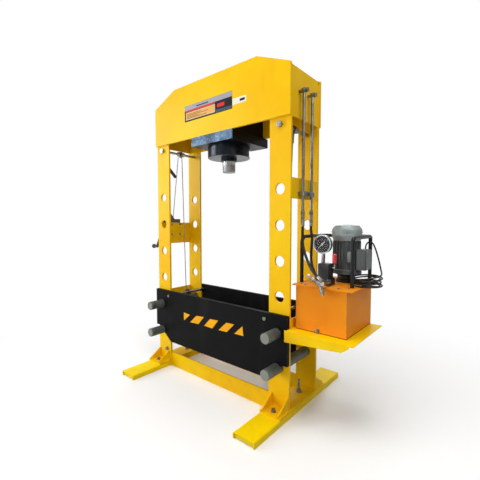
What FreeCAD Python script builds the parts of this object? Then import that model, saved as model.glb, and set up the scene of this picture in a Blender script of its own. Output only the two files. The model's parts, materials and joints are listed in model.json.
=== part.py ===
import FreeCAD, Part
import math
import os

# H-frame hydraulic shop press with a winch-lifted bed and an electric pump on a side shelf.
# Millimetres. +Z is up, the front looks along -Y, and X runs along the head. The model is
# built about the middle of the frame and moved to its own origin when it is written out.

V = FreeCAD.Vector
X_AXIS = V(1, 0, 0)
Y_AXIS = V(0, 1, 0)
Z_AXIS = V(0, 0, 1)

# ---- clearances ----
running_fit = 0.05
sliding_gap = 0.3
side_play = 0.5

# ---- frame ----
upright_spread = 508.0
upright_width = 134.0
upright_thickness = 13.0
frame_depth = 314.0
foot_width = 134.0
foot_height = 32.0
foot_length = 940.0
foot_wall = 5.0
foot_corner = 8.0
foot_end_recess = 8.0
foot_shift = 7.0
base_thickness = 12.0
base_length = 500.0
gusset_height = 68.0
gusset_thickness = 8.0
gusset_spread = 52.0
gusset_toe = 10.0
tie_height = 100.0
tie_thickness = 10.0
tie_setback = 7.0
side_plate_thickness = 8.0
side_plate_stand = 0.6
low_plate_bottom = 440.0
low_plate_height = 104.0
winch_plate_bottom = 900.0
winch_plate_height = 160.0
pipe_plate_bottom = 1190.0
pipe_plate_height = 110.0

# ---- bolts of the feet, the stud and the earth bolt ----
foot_bolt_size = 20.0
foot_bolt_height = 13.0
foot_bolt_inset = 34.0
washer_thickness = 3.0
washer_margin = 4.0
stud_diameter = 16.0
stud_nut_size = 26.0
stud_nut_height = 15.0
stud_length = 76.0
stud_y = 54.0
earth_bolt_size = 18.0
earth_bolt_height = 11.0
earth_bolt_rise = 120.0
earth_bolt_shift = 23.0

# ---- sleeved peg behind the front left bar ----
peg_drop = 94.0
peg_shift = 30.0
peg_diameter = 14.0
peg_length = 96.0
peg_lean = 43.0
sleeve_diameter = 24.0
sleeve_length = 88.0

# ---- pins and their holes ----
pin_hole_diameter = 60.0
pin_pitch = 195.0
pin_hole_count = 6
lowest_pin_height = 267.0
pin_front_reach = 290.0
pin_back_reach = 196.0
pin_chamfer = 3.0

# ---- head ----
head_bottom = 1618.0
head_height = 355.0
head_length = 1154.0
head_chamfer_run = 218.0
head_chamfer_rise = 91.0
head_plate_thickness = 13.0
head_cover_thickness = 8.0
head_cover_inset = 6.0
head_web_thickness = 12.0
upright_top_gap = 115.0

# ---- cylinder and ram ----
slab_width = 360.0
slab_thickness = 58.0
slab_back_reach = 20.0
barrel_diameter = 280.0
barrel_bore = 200.0
barrel_drop = 75.0
barrel_top_gap = 14.0
barrel_top_thickness = 40.0
port_inset = 20.0
gland_thickness = 26.0
gland_nose_diameter = 106.0
gland_nose_length = 22.0
ram_diameter = 85.0
piston_thickness = 60.0
rod_showing = 24.0
nose_length = 46.0
nose_groove_depth = 2.0
nose_groove_width = 4.0
nose_edge = 3.0

# ---- bed ----
bed_length = 1154.0
bed_plate_thickness = 22.0
bed_plate_gap = 2.0
bed_top = 564.0
bed_height = 370.0
bed_end_height = 270.0
bed_flat_length = 1090.0
bed_belly_length = 822.0
bed_tie_spread = 428.0
bed_tie_drop = 36.0
bed_tie_diameter = 14.0
bed_sleeve_diameter = 20.0
bed_spacer_spread = 300.0
bed_spacer_size = 40.0
bed_spacer_rise = 16.0
tie_nut_diameter = 20.0
tie_nut_length = 6.0

# ---- rope, rods and pulleys ----
rope_diameter = 6.0
rope_wheel_radius = 22.0
wheel_rim = 4.0
wheel_width = 20.0
rod_diameter = 18.0
rod_drop = 38.0
rod_nut_size = 30.0
rod_nut_length = 15.0
collar_diameter = 32.0
collar_length = 26.0
anchor_y = -25.0
anchor_neck = 34.0
ferrule_diameter = 14.0
ferrule_length = 40.0

# ---- hand winch ----
winch_reach = 114.0
drum_rise = 60.0
drum_core_diameter = 50.0
drum_flange_diameter = 84.0
drum_flange_thickness = 3.0
drum_turns = 5
drum_pitch = 7.0
rope_bend = 7.5
rope_exit_reach = 70.0
rope_lead = 30.0
rope_easing = 100.0
winch_frame_rise = 40.0
winch_frame_height = 148.0
winch_wall = 5.0
winch_half_width = 52.0
ear_height = 40.0
ear_width = 16.0
ear_slope = 32.0
ear_bar_diameter = 10.0
winch_bolt_size = 15.0
winch_bolt_head = 6.0
winch_bolt_spread = 42.0
winch_bolt_low = 29.0
winch_bolt_high = 108.0
gear_module = 2.0
gear_teeth = 45
pinion_teeth = 15
gear_width = 8.0
tooth_share = 0.40
tooth_tip_share = 0.22
tooth_height_share = 0.85
winch_shaft_diameter = 14.0
shaft_end = 4.0
ratchet_diameter = 34.0
ratchet_width = 8.0
crank_length = 204.0
crank_lean = 22.0
crank_offset = 14.0
crank_arm_width = 22.0
crank_arm_thickness = 6.0
crank_nut_size = 22.0
grip_length = 54.0
grip_diameter = 34.0
grip_pin_diameter = 10.0
grip_pin_gap = 4.0
grip_end_wall = 3.5
pawl_length = 36.0
pawl_thickness = 7.0
pawl_rise = 6.0
pawl_pivot_diameter = 7.0
plate_hole_diameter = 8.0
plate_hole_y = 30.0
plate_hole_rise = 10.0

# ---- shelf ----
shelf_left = 580.0
shelf_width = 356.0
shelf_front = -198.0
shelf_back = 214.0
shelf_top = 497.0
shelf_wall = 3.0
shelf_flange_left_reach = 12.0
shelf_flange_height = 64.0
shelf_flange_end_height = 40.0
shelf_flange_tip_height = 14.0
shelf_flange_slope_end = 56.0
shelf_flange_tip = 22.0
shelf_rib_height = 30.0

# ---- tank ----
tank_inset = 16.0
tank_width = 278.0
tank_front = -128.0
tank_depth = 342.0
tank_height = 234.0
tank_wall = 3.0
tank_rim = 12.0
lid_thickness = 6.0
lid_overhang = 15.0
lid_right_overhang = 34.0
lid_screw_size = 10.0
lid_screw_inset = 12.0
lid_screw_corner = 48.0
drain_height = 12.0
drain_share = 0.45
drain_size = 14.0
lid_screw_head = 4.0
cap_inset_x = 60.0
cap_inset_y = 70.0
cap_diameter = 48.0
cap_size = 36.0
cap_collar = 8.0
cap_height = 20.0

# ---- motor and pump ----
motor_inset_x = 174.0
motor_inset_y = 243.0
adaptor_diameter = 110.0
adaptor_height = 48.0
flange_diameter = 160.0
flange_thickness = 12.0
motor_body_diameter = 126.0
motor_body_length = 165.0
motor_bore = 84.0
fin_reach = 11.0
fin_thickness = 3.0
fin_count = 24
fan_cover_diameter = 162.0
fan_cover_height = 88.0
fan_cover_wall = 2.0
fan_cover_round = 14.0
fan_slot_count = 16
motor_shaft_diameter = 19.0
rotor_diameter = 82.0
fan_diameter = 128.0
fan_blade_count = 8
terminal_box_width = 46.0
terminal_box_depth = 84.0
terminal_box_height = 108.0
terminal_box_rise = 14.0
gland_length = 30.0
pump_diameter = 88.0
pump_length = 96.0
strainer_diameter = 60.0
strainer_length = 70.0

# ---- valve block, gauge and lever ----
block_inset_x = 100.0
block_inset_y = 50.0
block_size = 58.0
block_height = 76.0
block_foot_height = 36.0
block_foot_margin = 8.0
gauge_inset_x = 9.0
gauge_inset_y = 38.0
gauge_diameter = 100.0
gauge_depth = 30.0
gauge_rise = 99.0
gauge_bezel = 5.0
gauge_dial_recess = 7.0
stem_hex = 17.0
needle_length = 32.0
needle_tail = 20.0
needle_rest = -135.0
lever_share = 0.7
lever_drop = 24.0
lever_pivot = 4.0
lever_pivot_length = 16.0
lever_hub_gap = 8.0
lever_hub_length = 12.0
lever_diameter = 10.0
lever_height = 62.0
knob_diameter = 23.0
knob_length = 50.0
knob_rise = 26.0

# ---- handle frame ----
handle_tube = 20.0
handle_overhang = 5.0
handle_width = 277.0
handle_front = -60.0
handle_back = 208.0
handle_top = 985.0
handle_bend = 34.0

# ---- pipes, hoses and cable ----
pipe_diameter = 16.0
pipe_x = 600.0
pipe_front_y = -72.0
pipe_back_y = 21.0
pipe_rise = 140.0
pipe_bottom = 1110.0
pipe_nut_length = 18.0
pipe_nut_drop = 4.0
banjo_radius = 14.0
banjo_width = 18.0
banjo_head = 15.0
clamp_height = 1216.0
clamp_size = 24.0
hose_diameter = 15.0
hose_ferrule_diameter = 20.0
port_hex = 22.0
union_size = 19.0
manifold_rise = 26.0
manifold_shift = 2.0
union_drop = 14.0
union_heel = 8.0
cable_diameter = 8.0
coil_x = 897.0
coil_y = 60.0
coil_outer_radius = 77.0
coil_inner_radius = 66.5
coil_layers = 4
coil_lift = 8.9
coil_fan = 7.0
coil_tail_radius = 28.0
coil_end_angle = 12.0
coil_top_share = 0.5
cable_last_run = 28.0
plug_diameter = 30.0
plug_length = 34.0
plug_grip_length = 12.0
plug_pin_length = 16.0

# ---- places that follow from the sizes ----
foot_centre = upright_spread + foot_shift
base_top = foot_height + base_thickness
frame_front = frame_depth / 2
bar_inner = frame_front - upright_thickness
side_outer = upright_spread + upright_width / 2 + side_plate_stand
head_top = head_bottom + head_height
rod_height = head_bottom - rod_drop
pipe_top = head_bottom + pipe_rise
head_shoulder = head_top - head_chamfer_rise
head_front = frame_front + head_plate_thickness
slab_bottom = head_bottom - slab_thickness
barrel_bottom = slab_bottom - barrel_drop
barrel_top = head_top - head_cover_inset - head_cover_thickness - barrel_top_gap
bore_top = barrel_top - barrel_top_thickness
ram_tip = barrel_bottom - gland_nose_length - rod_showing - nose_length
pin_radius = pin_hole_diameter / 2 - sliding_gap
bed_inner = frame_front + bed_plate_gap
bed_outer = bed_inner + bed_plate_thickness
bed_tie_height = bed_top - bed_tie_drop
shelf_right = shelf_left + shelf_width
tank_left = shelf_left + tank_inset
handle_left = tank_left - handle_overhang
handle_right = handle_left + handle_width
motor_x = tank_left + motor_inset_x
motor_y = tank_front + motor_inset_y
block_left = tank_left + block_inset_x
block_front = tank_front + block_inset_y
gauge_x = block_left + gauge_inset_x
gauge_y = block_front + gauge_inset_y
lid_top = shelf_top + tank_height + lid_thickness
motor_base = lid_top + adaptor_height
motor_body_bottom = motor_base + flange_thickness
fan_cover_bottom = motor_body_bottom + motor_body_length
fan_cover_top = fan_cover_bottom + fan_cover_height
block_top = lid_top + block_foot_height + block_height
gauge_height = block_top + gauge_rise
lever_x = block_left + block_size
lever_y = block_front + lever_share * block_size
lever_z = block_top - lever_drop
winch_outer = side_outer + winch_reach
winch_frame_bottom = winch_plate_bottom + winch_frame_rise
drum_height = winch_frame_bottom + drum_rise
gear_outer = winch_outer - winch_wall - side_play
drum_outer = gear_outer - gear_width
drum_inner = side_outer + winch_wall + side_play
pinion_height = drum_height + gear_module * (gear_teeth + pinion_teeth) / 2
crank_outer = winch_outer + crank_offset + crank_arm_thickness

written = []


def write(name, shape):
    """Moves a piece to the part's origin and writes it."""
    moved = shape.copy()
    moved.translate(V(-middle_x(), 0, 0))
    moved.exportStep("parts/" + name + ".step")
    written.append(name)
    print(name, len(moved.Solids), "solids, volume", round(moved.Volume), "valid", moved.isValid())


def middle_x():
    """The middle of the press without its cable, from the crank's grip to the shelf's right end."""
    return (shelf_right - crank_outer - grip_length) / 2


def block(x0, x1, y0, y1, z0, z1):
    return Part.makeBox(x1 - x0, y1 - y0, z1 - z0, V(x0, y0, z0))


def disc(radius, length, place, axis):
    return Part.makeCylinder(radius, length, place, axis)


def hexagon(size, length, place, axis):
    """A hexagon prism of the given size across its flats."""
    turn = FreeCAD.Rotation(Z_AXIS, axis)
    corner = size / math.sqrt(3)
    points = []
    for i in range(7):
        angle = math.radians(60 * i)
        points.append(place + turn.multVec(V(corner * math.cos(angle), corner * math.sin(angle), 0)))
    return Part.Face(Part.makePolygon(points)).extrude(axis * length)


def slice_xz(points, y0, y1):
    """A flat outline in X and Z, given its thickness along Y."""
    loop = [V(x, y0, z) for x, z in points]
    return Part.Face(Part.makePolygon(loop + loop[:1])).extrude(V(0, y1 - y0, 0))


def slice_yz(points, x0, x1):
    """A flat outline in Y and Z, given its thickness along X."""
    loop = [V(x0, y, z) for y, z in points]
    return Part.Face(Part.makePolygon(loop + loop[:1])).extrude(V(x1 - x0, 0, 0))


def turned(outline, place, axis):
    """Revolves (radius, height) points about an axis through a place."""
    loop = [V(r, 0, h) for r, h in outline]
    shape = Part.Face(Part.makePolygon(loop + loop[:1])).revolve(V(0, 0, 0), Z_AXIS, 360)
    shape.Placement = FreeCAD.Placement(place, FreeCAD.Rotation(Z_AXIS, axis))
    return shape


def joined(shapes):
    result = shapes[0].multiFuse(shapes[1:]) if len(shapes) > 1 else shapes[0]
    return result.removeSplitter()


def mirrored_x(shape):
    return shape.mirror(V(0, 0, 0), X_AXIS)


def mirrored_y(shape):
    return shape.mirror(V(0, 0, 0), Y_AXIS)


# ---- paths and tubes ----
def arc_to(start, tangent, end):
    """The arc that leaves start along tangent and ends at end."""
    chord = end - start
    along = chord * (1 / chord.Length)
    side = tangent - along * tangent.dot(along)
    if side.Length < 1e-9:
        return Part.LineSegment(start, end).toShape()
    lean = math.atan2(side.Length, tangent.dot(along))
    middle = (start + end) * 0.5 + side * (chord.Length / 2 * math.tan(lean / 2) / side.Length)
    return Part.Arc(start, middle, end).toShape()


def biarc(start, start_tangent, end, end_tangent):
    """Two arcs from one point and direction to another."""
    gap = end - start
    both = start_tangent + end_tangent
    spread = 2 * (1 - start_tangent.dot(end_tangent))
    reach = gap.dot(both)
    if spread < 1e-9:
        step = gap.dot(gap) / (4 * gap.dot(end_tangent))
    else:
        step = (math.sqrt(reach * reach + spread * gap.dot(gap)) - reach) / spread
    middle = (start + start_tangent * step + end - end_tangent * step) * 0.5
    meet = (end - end_tangent * step) - (start + start_tangent * step)
    return [arc_to(start, start_tangent, middle), arc_to(middle, meet * (1 / meet.Length), end)]


def route(points, radii):
    """Straight runs between the points, with a tangent arc of the given radius at each bend."""
    edges = []
    last = points[0]
    for before, here, after, radius in zip(points, points[1:], points[2:], radii):
        into = (here - before) * (1 / (here - before).Length)
        out = (after - here) * (1 / (after - here).Length)
        half_turn = into.getAngle(out) / 2
        trim = radius * math.tan(half_turn)
        first = here - into * trim
        second = here + out * trim
        bisector = (out - into) * (1 / (out - into).Length)
        middle = here + bisector * (radius / math.cos(half_turn) - radius)
        if (first - last).Length > 1e-6:
            edges.append(Part.LineSegment(last, first).toShape())
        edges.append(Part.Arc(first, middle, second).toShape())
        last = second
    edges.append(Part.LineSegment(last, points[-1]).toShape())
    return edges


def cord_radii(points):
    """The largest arcs that the runs beside each bend allow."""
    radii = []
    for before, here, after in zip(points, points[1:], points[2:]):
        half_turn = (here - before).getAngle(after - here) / 2
        shorter = min((here - before).Length, (after - here).Length)
        radii.append(0.45 * shorter / math.tan(half_turn))
    return radii


def tube(edges, radius):
    """One unbroken round tube along the edges."""
    path = Part.Wire(edges)
    start = edges[0].valueAt(edges[0].FirstParameter)
    tangent = edges[0].tangentAt(edges[0].FirstParameter)
    ring = Part.Wire(Part.makeCircle(radius, start, tangent))
    shell = path.makePipeShell([ring], True, False)
    return shell


def check_tube(name, shape, edges, radius):
    """Prints how a tube's volume compares with its section times its length."""
    length = sum(edge.Length for edge in edges)
    share = shape.Volume / (math.pi * radius * radius * length)
    print(name, "length", round(length), "volume share", round(share, 4))


def least_gap(edges, radius, skip):
    """The least gap between parts of a tube that lie further apart along it than skip."""
    points = []
    travelled = 0
    for edge in edges:
        count = max(2, int(edge.Length / 1.5))
        for i in range(count):
            share = (i + 0.5) / count
            at = edge.FirstParameter + share * (edge.LastParameter - edge.FirstParameter)
            points.append((travelled + share * edge.Length, edge.valueAt(at)))
        travelled += edge.Length
    gap = None
    for i, (s, p) in enumerate(points):
        for t, q in points[i + 1:]:
            if t - s > skip and (gap is None or (p - q).Length - 2 * radius < gap):
                gap = (p - q).Length - 2 * radius
    return gap


# ---- feet, base plates and uprights ----
def make_foot(centre):
    half = foot_width / 2
    outer = block(centre - half, centre + half, -foot_length / 2, foot_length / 2, 0, foot_height)
    long_edges = []
    for edge in outer.Edges:
        box = edge.BoundBox
        if box.YLength > foot_length / 2 and box.ZMin > foot_height / 2:
            long_edges.append(edge)
    outer = outer.makeFillet(foot_corner, long_edges)
    inner = half - foot_wall
    hollow = block(centre - inner, centre + inner, -foot_length, foot_length, -1, foot_height - foot_wall)
    foot = outer.cut(hollow)
    for end in (-1, 1):
        face = end * (foot_length / 2 - foot_end_recess)
        low, high = sorted((face, face - end * foot_wall))
        foot = foot.fuse(block(centre - inner, centre + inner, low, high, 3, foot_height - foot_wall))
    return foot.removeSplitter()


def make_base_plate(centre):
    half = foot_width / 2
    reach = base_length / 2
    pieces = [block(centre - half, centre + half, -reach, reach, foot_height, base_top)]
    for side in (-1, 1):
        middle = centre + side * gusset_spread
        outline = [(-frame_front, base_top), (-reach, base_top), (-reach, base_top + gusset_toe),
                   (-frame_front, base_top + gusset_height)]
        front = slice_yz(outline, middle - gusset_thickness / 2, middle + gusset_thickness / 2)
        pieces += [front, mirrored_y(front)]
    return joined(pieces)


def make_upright(side):
    """A front bar; side is -1 for the left one and 1 for the right one."""
    centre = side * upright_spread
    half = upright_width / 2
    top = head_top - upright_top_gap
    bar = block(centre - half, centre + half, -frame_front, -bar_inner, base_top, top)
    for i in range(pin_hole_count):
        place = V(centre, -frame_front - 1, lowest_pin_height + i * pin_pitch)
        bar = bar.cut(disc(pin_hole_diameter / 2, upright_thickness + 2, place, Y_AXIS))
    place = V(centre, -frame_front - 1, rod_height)
    return bar.cut(disc(rod_diameter / 2, upright_thickness + 2, place, Y_AXIS))


def make_tie_beams():
    """The flat bars on edge that join the feet, one in front and one behind."""
    inner = upright_spread - upright_width / 2
    reach = foot_centre - foot_width / 2
    outline = [(-reach, 0), (reach, 0), (reach, base_top), (inner, base_top), (inner, tie_height),
               (-inner, tie_height), (-inner, base_top), (-reach, base_top)]
    face = -frame_front + tie_setback
    front = slice_xz(outline, face, face + tie_thickness)
    return Part.makeCompound([front, mirrored_y(front)])


def make_winch_plates():
    """The left side's plates, with a small hole under the winch."""
    low, high = make_side_plates(-1, winch_plate_bottom, winch_plate_height)
    place = V(-side_outer - 1, plate_hole_y, winch_plate_bottom + plate_hole_rise)
    hole = disc(plate_hole_diameter / 2, side_plate_thickness + 2, place, X_AXIS)
    return Part.makeCompound([low, high.cut(hole)])


def make_side_plates(side, upper_bottom, upper_height):
    """The two cross plates that join the front and back bars of one side."""
    plates = []
    low, high = sorted((side * (side_outer - side_plate_thickness), side * side_outer))
    for bottom, height in ((low_plate_bottom, low_plate_height), (upper_bottom, upper_height)):
        plates.append(block(low, high, -bar_inner, bar_inner, bottom, bottom + height))
    return plates


# ---- head ----
def head_outline(inset):
    """The head's outline, drawn in evenly from its edges."""
    half = head_length / 2 - inset
    slope = math.atan2(head_chamfer_rise, head_chamfer_run)
    drop = inset * math.tan((math.pi / 2 - slope) / 2)
    run = inset * math.tan(slope / 2)
    flat = head_length / 2 - head_chamfer_run - run
    return half, head_shoulder - drop, flat, head_top - inset


def make_head_plate():
    half, shoulder, flat, top = head_outline(0)
    points = [(-half, head_bottom), (-half, shoulder), (-flat, top), (flat, top),
              (half, shoulder), (half, head_bottom)]
    return slice_xz(points, -head_front, -frame_front)


def make_head_ends():
    half, shoulder, flat, top = head_outline(head_cover_inset)
    right = block(half - head_cover_thickness, half, -bar_inner, bar_inner, head_bottom, shoulder)
    for y in (pipe_front_y, pipe_back_y):
        place = V(half - head_cover_thickness - 1, y, pipe_top)
        right = right.cut(disc(pipe_diameter / 2, head_cover_thickness + 2, place, X_AXIS))
    left = block(-half, -half + head_cover_thickness, -bar_inner, bar_inner, head_bottom, shoulder)
    return Part.makeCompound([left, right])


def make_head_covers():
    """The top strip with its sloped ends, and the two webs beside the cylinder."""
    half, shoulder, flat, top = head_outline(head_cover_inset)
    inner_half, inner_shoulder, inner_flat, inner_top = head_outline(head_cover_inset + head_cover_thickness)
    strip = slice_xz([(-flat, top), (flat, top), (inner_flat, inner_top), (-inner_flat, inner_top)],
                     -frame_front, frame_front)
    slope = slice_xz([(half, shoulder), (flat, top), (inner_flat, inner_top), (inner_half, shoulder)],
                     -frame_front, frame_front)
    web_x = barrel_diameter / 2 + head_web_thickness
    web = block(web_x, web_x + head_web_thickness, -frame_front, frame_front, head_bottom, inner_top)
    for y in (pipe_front_y, pipe_back_y):
        place = V(web_x - 1, y, pipe_top)
        web = web.cut(disc(pipe_diameter / 2, head_web_thickness + 2, place, X_AXIS))
    left_web = block(-web_x - head_web_thickness, -web_x, -frame_front, frame_front, head_bottom, inner_top)
    return Part.makeCompound([strip, slope, mirrored_x(slope), web, left_web])


# ---- cylinder and ram ----
def make_slab():
    half = slab_width / 2
    plate = block(-half, half, -head_front, head_front + slab_back_reach, slab_bottom, head_bottom)
    return plate.cut(disc(barrel_diameter / 2, slab_thickness + 2, V(0, 0, slab_bottom - 1), Z_AXIS))


def make_barrel():
    outer = barrel_diameter / 2
    bore = barrel_bore / 2
    points = [(outer - 3, barrel_bottom), (outer, barrel_bottom + 3), (outer, barrel_top), (0, barrel_top),
              (0, bore_top), (bore, bore_top), (bore, barrel_bottom)]
    barrel = turned(points, V(0, 0, 0), Z_AXIS)
    for y in (pipe_front_y, pipe_back_y):
        pocket = disc(pipe_diameter / 2, barrel_diameter, V(port_depth(y), y, pipe_top), X_AXIS)
        barrel = barrel.cut(pocket)
    return barrel


def port_depth(y):
    """Where a pipe ends inside the barrel's wall."""
    return math.sqrt((barrel_diameter / 2 - port_inset) ** 2 - y * y)


def make_gland():
    bore = ram_diameter / 2 + running_fit
    outer = barrel_bore / 2
    nose = gland_nose_diameter / 2
    points = [(bore, barrel_bottom - gland_nose_length), (nose - 3, barrel_bottom - gland_nose_length),
              (nose, barrel_bottom - gland_nose_length + 3), (nose, barrel_bottom),
              (outer, barrel_bottom), (outer, barrel_bottom + gland_thickness),
              (bore, barrel_bottom + gland_thickness)]
    return turned(points, V(0, 0, 0), Z_AXIS)


def make_ram():
    """The rod and the piston, drawn in as far as they go."""
    rod = ram_diameter / 2
    piston = barrel_bore / 2 - running_fit
    top = bore_top - side_play
    low = top - piston_thickness
    points = [(0, ram_tip + nose_length), (rod, ram_tip + nose_length), (rod, low), (piston, low),
              (piston, top), (0, top)]
    return turned(points, V(0, 0, 0), Z_AXIS)


def make_nose():
    radius = ram_diameter / 2
    points = [(0, ram_tip), (radius - nose_edge, ram_tip), (radius, ram_tip + nose_edge)]
    for share in (0.35, 0.62):
        z = ram_tip + share * nose_length
        points += [(radius, z), (radius - nose_groove_depth, z),
                   (radius - nose_groove_depth, z + nose_groove_width), (radius, z + nose_groove_width)]
    points += [(radius, ram_tip + nose_length), (0, ram_tip + nose_length)]
    return turned(points, V(0, 0, 0), Z_AXIS)


# ---- bed and pins ----
def make_bed_plate():
    half = bed_length / 2
    end_bottom = bed_top - bed_end_height
    bottom = bed_top - bed_height
    points = [(-half, bed_top), (-half, end_bottom), (-bed_flat_length / 2, end_bottom),
              (-bed_belly_length / 2, bottom), (bed_belly_length / 2, bottom),
              (bed_flat_length / 2, end_bottom), (half, end_bottom), (half, bed_top)]
    plate = slice_xz(points, -bed_outer, -bed_inner)
    depth = bed_plate_thickness + 2
    for side in (-1, 1):
        for i in (0, 1):
            place = V(side * upright_spread, -bed_outer - 1, lowest_pin_height + i * pin_pitch)
            plate = plate.cut(disc(pin_hole_diameter / 2, depth, place, Y_AXIS))
        place = V(side * bed_tie_spread, -bed_outer - 1, bed_tie_height)
        plate = plate.cut(disc(bed_tie_diameter / 2, depth, place, Y_AXIS))
    return plate


def make_bed_ties():
    """Tie rods with sleeves and round nuts, and the two lower spacers."""
    gap = wheel_width / 2 + side_play
    solids = []
    for side in (-1, 1):
        place = V(side * bed_tie_spread, -bed_outer - tie_nut_length, bed_tie_height)
        rod = disc(bed_tie_diameter / 2, 2 * (bed_outer + tie_nut_length), place, Y_AXIS)
        front = disc(bed_sleeve_diameter / 2, bed_inner - gap, V(place.x, -bed_inner, place.z), Y_AXIS)
        nut = disc(tie_nut_diameter / 2, tie_nut_length, place, Y_AXIS)
        solids.append(joined([rod, front, mirrored_y(front), nut, mirrored_y(nut)]))
        low = bed_top - bed_height + bed_spacer_rise
        x0, x1 = sorted((side * bed_spacer_spread, side * (bed_spacer_spread + bed_spacer_size)))
        solids.append(block(x0, x1, -bed_inner, bed_inner, low, low + bed_spacer_size))
    return Part.makeCompound(solids)


def make_pin(side, level):
    length = pin_front_reach + pin_back_reach
    radius = pin_radius
    points = [(0, 0), (radius - pin_chamfer, 0), (radius, pin_chamfer), (radius, length - pin_chamfer),
              (radius - pin_chamfer, length), (0, length)]
    place = V(side * upright_spread, -pin_front_reach, lowest_pin_height + level * pin_pitch)
    return turned(points, place, Y_AXIS)


# ---- rods, pulleys and rope ----
def make_rods():
    solids = []
    gap = wheel_width / 2 + side_play
    for side, middle in ((-1, 0.0), (1, anchor_y)):
        reach = frame_front + rod_nut_length + 3
        centre = side * upright_spread
        rod = disc(rod_diameter / 2, 2 * reach, V(centre, -reach, rod_height), Y_AXIS)
        seat = V(centre, -frame_front - rod_nut_length, rod_height)
        nut = hexagon(rod_nut_size, rod_nut_length, seat, Y_AXIS)
        pieces = [rod, nut, mirrored_y(nut)]
        for start in (middle - gap - collar_length, middle + gap):
            pieces.append(disc(collar_diameter / 2, collar_length, V(centre, start, rod_height), Y_AXIS))
        solids.append(joined(pieces))
    return Part.makeCompound(solids)


def make_wheel(x, z, shaft_radius):
    """A grooved rope wheel that turns on a shaft along Y."""
    groove = rope_diameter / 2 + sliding_gap
    bottom = rope_wheel_radius - groove
    rim = rope_wheel_radius + wheel_rim
    half = wheel_width / 2
    hub = min(shaft_radius + 5.0, bottom - 1.0)
    web = half - 4.0
    points = [(shaft_radius, -half), (hub, -half), (hub, -web), (rim, -web), (rim, -groove), (bottom, -groove),
              (bottom, groove), (rim, groove), (rim, web), (hub, web), (hub, half), (shaft_radius, half)]
    return turned(points, V(x, 0, z), Y_AXIS)


def make_anchor():
    """The eye on the right-hand rod that holds the end of the rope, with its ferrule."""
    half = wheel_width / 2
    eye = disc(rope_wheel_radius, wheel_width, V(upright_spread, anchor_y - half, rod_height), Y_AXIS)
    down = rope_end_direction()
    start = V(upright_spread, anchor_y, rod_height)
    neck = Part.makeCone(wheel_width / 2, ferrule_diameter / 2, anchor_neck, start, down)
    ferrule = disc(ferrule_diameter / 2, ferrule_length, start + down * anchor_neck, down)
    hole = disc(rod_diameter / 2, wheel_width + 2, V(upright_spread, anchor_y - half - 1, rod_height), Y_AXIS)
    return joined([eye, neck, ferrule]).cut(hole)


def rope_end_direction():
    """From the right-hand rod down to the bed's right-hand wheel."""
    low = V(bed_tie_spread + rope_wheel_radius, 0, bed_tie_height)
    down = low - V(upright_spread, anchor_y, rod_height)
    return down * (1 / down.Length)


rope_on_drum = drum_core_diameter / 2 + sliding_gap + rope_diameter / 2


def drum_point(turn):
    """A point of the rope on the drum, and its direction, after so many turns."""
    angle = 2 * math.pi * turn
    x = drum_pitch * (drum_turns - turn) - side_outer - rope_exit_reach
    place = V(x, rope_on_drum * math.cos(angle), drum_height + rope_on_drum * math.sin(angle))
    around = 2 * math.pi * rope_on_drum
    heading = V(-drum_pitch, -around * math.sin(angle), around * math.cos(angle))
    return place, heading * (1 / heading.Length)


def make_rope():
    radius = rope_diameter / 2
    first, heading = drum_point(0)
    corner = first - heading * rope_bend
    start = V(-drum_inner - drum_flange_thickness - sliding_gap, corner.y, corner.z)
    edges = route([start, corner, first], [rope_bend * 0.9])
    for quarter in range(4 * drum_turns):
        here, out = drum_point(quarter / 4)
        there, into = drum_point((quarter + 1) / 4)
        edges += biarc(here, out, there, into)
    wound = len(edges)
    leave, up = drum_point(drum_turns)
    wheel = rope_wheel_radius
    outer_side = -upright_spread - wheel
    inner_side = -upright_spread + wheel
    over = rod_height + wheel
    under = bed_tie_height - wheel
    bed_fall = bed_tie_spread + wheel
    down = rope_end_direction()
    end = V(upright_spread, anchor_y, rod_height) + down * (anchor_neck + ferrule_length)
    points = [leave, leave + up * rope_lead, V(outer_side, 0, rod_height - wheel), V(outer_side, 0, over),
              V(inner_side, 0, over), V(inner_side, 0, rod_height - wheel), V(-bed_fall, 0, bed_tie_height + wheel),
              V(-bed_fall, 0, under), V(bed_fall, 0, under), V(bed_fall, 0, bed_tie_height + wheel), end]
    slack = rope_easing
    edges += route(points, [slack, slack, wheel, wheel, slack, slack, wheel, wheel, slack])
    rope = tube(edges, radius)
    check_tube("lift_rope", rope, edges, radius)
    print("lift_rope least gap", round(least_gap(edges[:wound + 2], radius, 4 * rope_diameter), 2))
    return rope


# ---- hand winch ----
def make_gear(teeth, z):
    """A gear with a tooth at its top, so that an odd pinion above it has a gap there."""
    pitch_radius = gear_module * teeth / 2
    height = gear_module * tooth_height_share
    root = pitch_radius - height - 0.25 * gear_module
    tip = pitch_radius + height
    foot_share = tooth_share / 2 + 0.1
    tip_share = tooth_tip_share / 2
    points = []
    for i in range(teeth):
        for radius, share in ((root, -foot_share), (tip, -tip_share), (tip, tip_share), (root, foot_share)):
            angle = 2 * math.pi * (i + share) / teeth
            points.append((radius * math.sin(angle), z + radius * math.cos(angle)))
    return slice_yz(points, -gear_outer, -drum_outer)


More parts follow.
